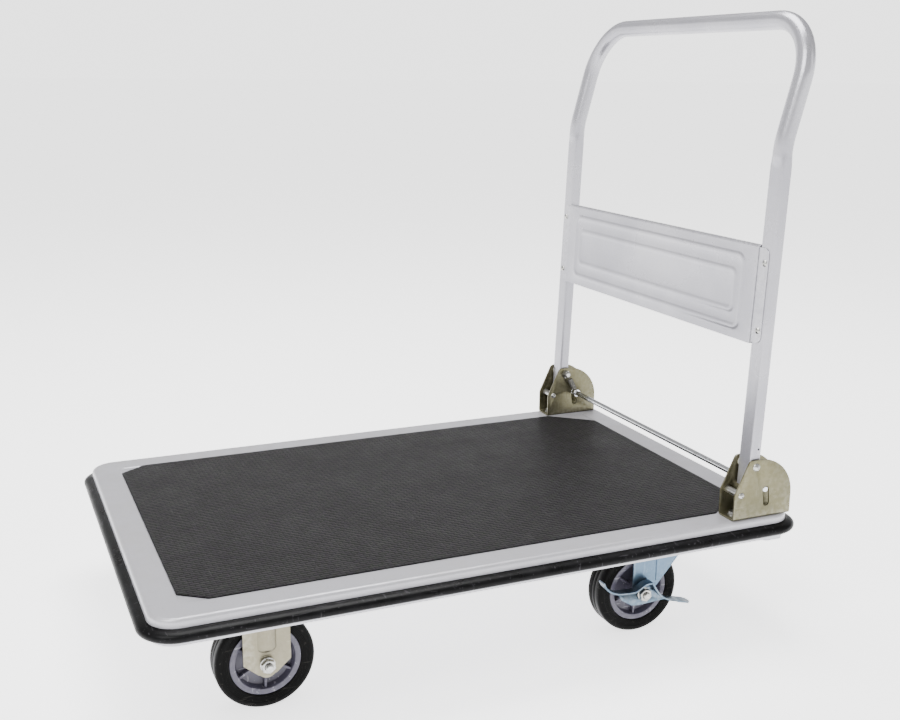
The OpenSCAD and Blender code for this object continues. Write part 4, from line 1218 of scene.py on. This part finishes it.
def makeSpring():  # drawn along +Z from the pivot bolt to the bar, then turned into place
    s = springs
    run = (barMiddle - pivot)
    length = math.hypot(run.x, run.z)
    r = (s["outer"] - s["wire"]) / 2
    coil = startPiece(
        "coil", bpy.ops.mesh.primitive_circle_add, vertices=10, radius=s["wire"] / 2,
        rotation=(math.pi / 2, 0, 0), location=(r, 0, s["start"]),
    )
    finishPiece(coil, 60)
    applyModifier(
        coil, "SCREW", angle=2 * math.pi * s["turns"], screw_offset=s["end"] - s["start"],
        steps=int(24 * s["turns"]),
        render_steps=int(24 * s["turns"]), axis="Z", use_normal_calculate=True,
    )
    topEye, barEye = 4 * mm + s["wire"] / 2 + 0.3 * mm, 4.25 * mm + s["wire"] / 2 + 0.3 * mm
    parts = [coil, makeEye(topEye, (0, 0, 0)), makeEye(barEye, (0, 0, length))]
    w = s["wire"] / 2
    for start, end in ((topEye, s["start"] + 0.6 * mm), (s["end"] - 0.6 * mm, length - barEye)):
        stem = [(start, 0), (start, w), (end, w), (end, 0)]
        parts.append(turned("stem", stem, axis="Z", steps=10))
        near = start if start > 20 * mm else end
        arm = [(0, 0), (0, w), (r, w), (r, 0)]
        parts.append(turned("arm", [(a, b) for a, b in arm], (0, 0, near), "Y", 10))
        settle(parts[-1], (0, 0, -90), (0, 0, 0))
    spring = joinPieces("springLeft", parts)
    middle = (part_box("spring_left")[0].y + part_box("spring_left")[1].y) / 2
    tilt = math.degrees(math.atan2(run.x, run.z))
    return settle(spring, (0, tilt, 0), (pivot.x, middle, pivot.z))


place(makeFootBar(), "foot_bar", "bright_bar", brightBar, "foot_bar")
place(
    joinPieces("barCollars", [makeCollar(-1), makeCollar(1)]), "foot_bar", "bright_bar", brightBar,
    "bar_collars",
)
leftSpring = makeSpring()
rightSpring = copyPiece(leftSpring, "springRight", mirrorY=True)
for side, spring in (("left", leftSpring), ("right", rightSpring)):
    spring.data.materials.clear()
    spring.data.materials.append(springWire)
    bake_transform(spring)
    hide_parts("spring_" + side)
print("foot bar ready")

# wheels: tyre, hub and sleeve, modelled once about their own middle and copied four times

wheelLow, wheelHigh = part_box("front_tyre_left")
axleZ = (wheelLow.z + wheelHigh.z) / 2
wheelY = (wheelLow.y + wheelHigh.y) / 2
frontX = (wheelLow.x + wheelHigh.x) / 2
rearX = (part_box("rear_tyre_left")[0].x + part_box("rear_tyre_left")[1].x) / 2
tyreRadius = (wheelHigh.z - wheelLow.z) / 2

wheel = dict(
    halfWidth=17.5 * mm,
    hubRadius=45 * mm,
    shoulder=6 * mm,
    rim=7 * mm,  # radial thickness of the hub's rim
    web=4.5 * mm,  # half thickness of the disc
    boss=(15 * mm, 21.4 * mm),  # radius and half length
    ribs=6,
    rib=3 * mm,
    bore=8 * mm,
)


def makeTyre():
    w, r, s = wheel["halfWidth"], tyreRadius, wheel["shoulder"]
    side = [(w - 2.6 * mm, wheel["hubRadius"] - 0.2 * mm), (w - 1.6 * mm, wheel["hubRadius"] + 0.2 * mm)]
    side += [(w - 0.9 * mm, wheel["hubRadius"] + 1.4 * mm)]
    for k, groove in enumerate((3.2, 5.0, 6.8, 8.6)):  # fine rings moulded in the sidewall
        at = wheel["hubRadius"] + groove * mm
        side += [
            (w - (0.5 - 0.1 * k) * mm, at - 0.5 * mm), (w - (0.85 - 0.1 * k) * mm, at),
            (w - (0.45 - 0.1 * k) * mm, at + 0.5 * mm),
        ]
    side += [(w, r - s - 1.5 * mm)]
    side += [
        (w - s + s * math.cos(t), r - s + s * math.sin(t)) for t in [math.pi / 2 * k / 7 for k in range(8)]
    ]
    tread = [(4.2 * mm, r), (3.9 * mm, r - 0.25 * mm), (3.3 * mm, r - 0.25 * mm), (3.0 * mm, r)]
    profile = side + tread
    profile += [(-a, b) for a, b in reversed(profile)]
    profile.append(profile[0])
    return turned("tyre", profile, steps=96, smoothAngle=50)


def makeHub():
    w, r, t = wheel["halfWidth"], wheel["hubRadius"], wheel["rim"]
    boss, reach = wheel["boss"]
    web = wheel["web"]
    side = [
        (reach, wheel["bore"]), (reach, boss - 3 * mm), (reach - 0.8 * mm, boss - 2.2 * mm),
        (web + 2 * mm, boss - 0.4 * mm),
    ]
    side += [
        (web + 0.6 * mm, boss + 0.2 * mm), (web, boss + 1.6 * mm), (web, r - t - 3.5 * mm),
        (web + 0.6 * mm, r - t - 2.2 * mm),
    ]
    side += [
        (web + 2.5 * mm, r - t - 1.6 * mm), (w - 2.6 * mm, r - t - 0.6 * mm), (w - 1.9 * mm, r - t),
        (w - 1.7 * mm, r - t + 0.8 * mm),
    ]
    side += [(w - 1.5 * mm, r - 1.4 * mm), (w - 1.9 * mm, r - 0.6 * mm), (w - 2.6 * mm, r - 0.2 * mm)]
    profile = side + [(-a, b) for a, b in reversed(side)]
    profile.append(profile[0])
    hub = turned("hub", profile, steps=72, smoothAngle=35)
    for k in range(wheel["ribs"]):
        rib = block(
            "rib", (boss - 2.5 * mm, -w + 5 * mm, -wheel["rib"] / 2),
            (r - t - 0.4 * mm, w - 5 * mm, wheel["rib"] / 2),
        )
        bpy.ops.mesh.select_all(action="DESELECT")
        pick(rib, "EDGE", lambda m, e: abs(abs(m.y) - (w - 5 * mm)) < 0.1 * mm and abs(m.z) > 0.5 * mm)
        bpy.ops.mesh.bevel(offset=0.7 * mm, segments=2)
        finishPiece(rib)
        hub = combine(hub, settle(rib, (0, 15 + k * 360 / wheel["ribs"], 0)), "UNION")
    return softenEdges(hub, 0.2 * mm, 1, 50, 30)


def makeSleeve():
    half = 22.2 * mm
    tube = [
        (-half, 5.05), (-half, 7.4), (-half + 0.5 * mm, 7.95), (half - 0.5 * mm, 7.95), (half, 7.4),
        (half, 5.05), (-half, 5.05),
    ]
    return turned("sleeve", [(a, b * mm) for a, b in tube], steps=40)


wheelParts = (
    (makeTyre(), "Tyre", "tyre_rubber", tyreRubber, "tyre"),
    (makeHub(), "Hub", "hub_plastic", hubPlastic, "hub"),
    (makeSleeve(), "Sleeve", "bright_zinc", brightZinc, "sleeve"),
)
for end, x, turn in (("front", frontX, 15), ("rear", rearX, 21)):
    for side, y in (("left", wheelY), ("right", -wheelY)):
        for model, label, slotName, material, cadName in wheelParts:
            part = copyPiece(model, f"{end}{label}{side.capitalize()}")
            settle(part, (0, turn, 0), (x, y, axleZ))
            place(part, f"{end}_wheel_{side}", slotName, material, f"{end}_{cadName}_{side}")
for model, *rest in wheelParts:
    bpy.data.objects.remove(model)
print("wheels ready")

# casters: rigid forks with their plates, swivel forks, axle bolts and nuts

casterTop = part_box("rigid_fork_left")[1].z
pinX = (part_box("kingpins")[0].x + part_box("kingpins")[1].x) / 2

caster = dict(
    plate=(105 * mm, 80 * mm, 8 * mm, 3 * mm),  # length, width, corner radius, thickness
    bolts=(84 * mm, 60 * mm),
    gap=45 * mm,
    sheet=2.5 * mm,
    legHalf=29.5 * mm,
    bossRadius=15.5 * mm,
    bossFoot=14 * mm,  # lower end of the boss above the axle
    axle=10 * mm,
)


def makeCasterPlate():
    length, width, corner, thick = caster["plate"]
    plate = roundedPlate("plate", length, width, corner, -thick, 6)
    riseBy(thick)
    finishPiece(plate)
    for sx in (-1, 1):
        for sy in (-1, 1):
            hole = [(-5 * mm, 0), (-5 * mm, 4.5 * mm), (2 * mm, 4.5 * mm), (2 * mm, 0)]
            at = (sx * caster["bolts"][0] / 2, sy * caster["bolts"][1] / 2, 0)
            plate = combine(plate, turned("hole", hole, at, "Z", 28), "DIFFERENCE")
    return plate


def drillAxle(piece, centre):
    bore = [
        (-60 * mm, 0), (-60 * mm, caster["axle"] / 2 + 0.05 * mm),
        (60 * mm, caster["axle"] / 2 + 0.05 * mm), (60 * mm, 0),
    ]
    return combine(piece, turned("bore", bore, centre, "Y", 36), "DIFFERENCE")


def makeRigidFork():  # about the axle, with the plate's top at height
    c = caster
    height = casterTop - axleZ
    half, out = c["legHalf"], c["gap"] / 2 + c["sheet"]
    fork = settle(makeCasterPlate(), (0, 0, 0), (0, 0, height))
    side = [(-half, height - 0.5 * mm), (-half, 3 * mm), (-11 * mm, -13 * mm)]
    side += arcPoints((0, -5.5 * mm), 12 * mm, 219, 321, 10)
    side += [(11 * mm, -13 * mm), (half, 3 * mm), (half, height - 0.5 * mm)]
    for s in (-1, 1):
        start = out * s - (c["sheet"] if s > 0 else 0)
        fork = combine(fork, cutout("leg", side, c["sheet"], start=start), "UNION")
        r = c["bossRadius"]
        foot = c["bossFoot"]
        shape = [(foot, 0)]
        shape += [
            (foot + 9 * mm * (1 - math.cos(t)), r * math.sin(t))
            for t in [math.pi / 2 * k / 8 for k in range(1, 9)]
        ]
        shape += [(height - 2.8 * mm, r), (height - 2.8 * mm, 0)]
        boss = turned("boss", shape, (0, s * (out - 10 * mm), 0), "Z", 48)
        keep = block(
            "keep", (-30 * mm, min(s * (out - 0.6 * mm), s * (out + 10 * mm)), -20 * mm),
            (30 * mm, max(s * (out - 0.6 * mm), s * (out + 10 * mm)), height + mm),
        )
        finishPiece(keep)
        fork = combine(fork, combine(boss, keep, "INTERSECT"), "UNION")
    fork = drillAxle(fork, (0, 0, 0))
    return softenEdges(fork, 0.7 * mm, 3, 25, 45)


def makeSwivelFork():  # about the axle; the swivel pin is ahead by the trail
    c = caster
    trail = pinX - rearX
    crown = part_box("swivel_fork_left")[1].z - 4 * mm - axleZ
    out = c["gap"] / 2 + c["sheet"]
    head = [
        (-3 * mm, 6.05 * mm), (-3 * mm, 41 * mm), (-2.2 * mm, 42 * mm), (-0.8 * mm, 42 * mm), (0, 41 * mm),
        (0, 34.5 * mm),
    ]
    head += [
        (0.8 * mm, 34 * mm), (3.4 * mm, 34 * mm), (4 * mm, 33.4 * mm), (4 * mm, 30.5 * mm),
        (2.2 * mm, 29.6 * mm), (2.2 * mm, 24.4 * mm),
    ]
    head += [(4 * mm, 23.5 * mm), (4 * mm, 6.05 * mm), (-3 * mm, 6.05 * mm)]
    fork = turned("fork", head, (trail, 0, crown), "Z", 72)
    side = arcPoints((0, 0), 14 * mm, 180, 322, 12)
    side += [(trail + 34 * mm, crown - 30 * mm), (trail + 34 * mm, crown - mm), (-14 * mm, crown - mm)]
    for s in (-1, 1):
        start = out * s - (c["sheet"] if s > 0 else 0)
        leg = cutout("leg", side, c["sheet"], start=start)
        fork = combine(fork, leg, "UNION")
        start = (out - 0.8 * mm) if s > 0 else -(out + 1.0 * mm)
        gusset = [
            (22.5 * mm, crown - 2 * mm), (22.5 * mm, 13.5 * mm), (25 * mm, 16 * mm),
            (trail + 30 * mm, crown - 32 * mm), (trail + 30 * mm, crown - 2 * mm),
        ]
        pressedPart = cutout("gusset", gusset, 1.8 * mm, start=start)
        fork = combine(fork, pressedPart, "UNION")
    fork = drillAxle(fork, (0, 0, 0))
    return softenEdges(fork, 0.6 * mm, 3, 30, 45)


def makeAxleSet(end):  # bolt with its hex head; the flanged nut goes on the -Y side
    c = caster
    out = c["gap"] / 2 + c["sheet"]
    rod = [
        (-end, 0), (-end, 4.1 * mm), (-end + 0.9 * mm, 5 * mm), (out + 0.5 * mm, 5 * mm),
        (out + 0.5 * mm, 0),
    ]
    shank = turned("shank", rod, steps=36)
    head = settle(hexNut("boltHead", 16 * mm, 6 * mm, 0), (-90, 0, 0), (0, out, 0))
    return joinPieces("axleBolt", [shank, head])


def makeAxleNut(offset):
    out = caster["gap"] / 2 + caster["sheet"] + offset
    body = settle(hexNut("axleNut", 16 * mm, 8 * mm, 5.02 * mm), (0, 0, 11))
    flange = [(0, 5.02), (0, 9.1), (0.5, 9.5), (1.2, 9.5), (1.6, 8.6), (1.6, 5.02), (0, 5.02)]
    ring = turned("flange", [(a * mm, b * mm) for a, b in flange], axis="Z", steps=48)
    nut = joinPieces("axleNut", [body, ring])
    return settle(nut, (90, 0, 0), (0, -out, 0))


rigid = makeRigidFork()
settle(rigid, (0, 0, 0), (frontX, wheelY, axleZ))
bothSides(rigid, "rigidFork", "deck", "yellow_zinc", forkZinc, "rigid_fork_{}")
swivel = settle(makeSwivelFork(), (0, 0, 0), (rearX, wheelY, axleZ))
bothSides(swivel, "swivelFork", "swivel_{}", "blue_zinc", blueZinc, "swivel_fork_{}")
frontBolt = settle(
    makeAxleSet(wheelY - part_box("front_axle_bolts")[0].y), (0, 0, 0), (frontX, wheelY, axleZ)
)
bothSides(frontBolt, "frontAxleBolt", "deck", "bright_zinc", brightZinc, "front_axle_bolts")
frontNut = settle(makeAxleNut(0), (0, 0, 0), (frontX, wheelY, axleZ))
bothSides(frontNut, "frontAxleNut", "deck", "bright_zinc", brightZinc, "front_axle_nuts")
rearBolt = settle(
    makeAxleSet(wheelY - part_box("rear_axle_bolt_left")[0].y), (0, 0, 0), (rearX, wheelY, axleZ)
)
bothSides(rearBolt, "rearAxleBolt", "swivel_{}", "bright_zinc", brightZinc, "rear_axle_bolt_{}")
rearNut = settle(makeAxleNut(5.1 * mm), (0, 0, 0), (rearX, wheelY, axleZ))
bothSides(rearNut, "rearAxleNut", "swivel_{}", "bright_zinc", brightZinc, "rear_axle_nut_{}")
print("casters ready")

# foot brakes: pressed lever with its rolled edge and pedal, and the ring on the hub

lever = dict(
    near=28.05 * mm,  # inner face, out from the wheel's middle
    sheet=2 * mm,
    edgeReach=13 * mm,
    bore=5.05 * mm,
    nutClear=11.5 * mm,
    pedal=(28 * mm, 17 * mm, 7 * mm),
    pedalTilt=15.4,
)


def thicken(line, amount):  # an outline around a line, on both sides of it
    left, right = [], []
    for k, (x, z) in enumerate(line):
        a, b = line[max(k - 1, 0)], line[min(k + 1, len(line) - 1)]
        size = math.hypot(b[0] - a[0], b[1] - a[1])
        nx, nz = -(b[1] - a[1]) / size * amount / 2, (b[0] - a[0]) / size * amount / 2
        left.append((x + nx, z + nz))
        right.append((x - nx, z - nz))
    return left + right[::-1]


def makeLever():  # about the wheel's axle, on the -Y side
    v = lever
    edge = curvePoints((-70, 31), (-64, 14), (-48, 10), (-30, 9.5), 10)
    edge += curvePoints((-22, 9.2), (-12, 9), (-8, 18), (2, 18), 9)
    edge += curvePoints((8, 18), (18, 2), (22, -9), (46, -14.5), 10)
    edge = [(x * mm, z * mm) for x, z in edge]
    under = curvePoints((44, -15), (24, -14), (-6, -18), (-18, -15), 8)
    plate = [
        p for p in edge if -50 * mm < p[0] < 46 * mm
    ] + [(x * mm, z * mm) for x, z in under] + [(-34 * mm, -5 * mm)]
    sheet = v["sheet"]
    body = cutout("lever", plate, sheet, start=-v["near"] - sheet)
    rim = cutout(
        "rim", thicken(edge + [(52 * mm, -16 * mm)], sheet), v["edgeReach"],
        start=-v["near"] - v["edgeReach"],
    )
    body = combine(body, rim, "UNION")
    length, width, corner = v["pedal"]
    pedal = roundedPlate("pedal", length, width, corner, 0, 8)
    riseBy(sheet)
    finishPiece(pedal)
    settle(pedal, (0, 0, 0), (12 * mm, 0, 0))
    settle(pedal, (0, v["pedalTilt"], 0), (46 * mm, -v["near"] - 6.5 * mm, -15.5 * mm))
    body = combine(body, pedal, "UNION")
    clear = [(-60 * mm, 0), (-60 * mm, v["nutClear"]), (-v["near"] - sheet - 0.05 * mm, v["nutClear"])]
    clear += [(-v["near"] - sheet - 0.05 * mm, v["bore"]), (0, v["bore"]), (0, 0)]
    body = combine(body, turned("clear", clear, steps=40), "DIFFERENCE")
    return softenEdges(body, 0.45 * mm, 3, 32, 40)


def makeCam():
    thin = [(-28, 5.1), (-28, 10.4), (-27.4, 11), (-25.6, 11), (-25, 10.4), (-25, 5.1), (-28, 5.1)]
    return turned("cam", [(a * mm, r * mm) for a, r in thin], steps=48)


foot = settle(makeLever(), (0, 0, 0), (rearX, wheelY, axleZ))
bothSides(foot, "brakeLever", "brake_{}", "blue_zinc", blueZinc, "brake_lever_{}")
collar = settle(makeCam(), (0, 0, 0), (rearX, wheelY, axleZ))
bothSides(collar, "brakeCam", "swivel_{}", "blue_zinc", blueZinc, "brake_cam_{}")
print("foot brakes ready")
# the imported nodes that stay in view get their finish

nodeFinish = {
    silverPaint: ["stiffener_left", "stiffener_right", "cross_rail_front", "cross_rail_rear", "end_strap"],
    blueZinc: ["swivel_plate_left", "swivel_plate_right"],
    brightZinc: ["bracket_nuts", "pivot_nuts", "caster_screws", "caster_nuts", "kingpins"],
    brightBar: ["race_balls"],
    bushNylon: ["pivot_bushes"],
}
for finish, names in nodeFinish.items():
    for name in names:
        for spot in nodes[name].material_slots:
            spot.material = finish
print("node finishes set")
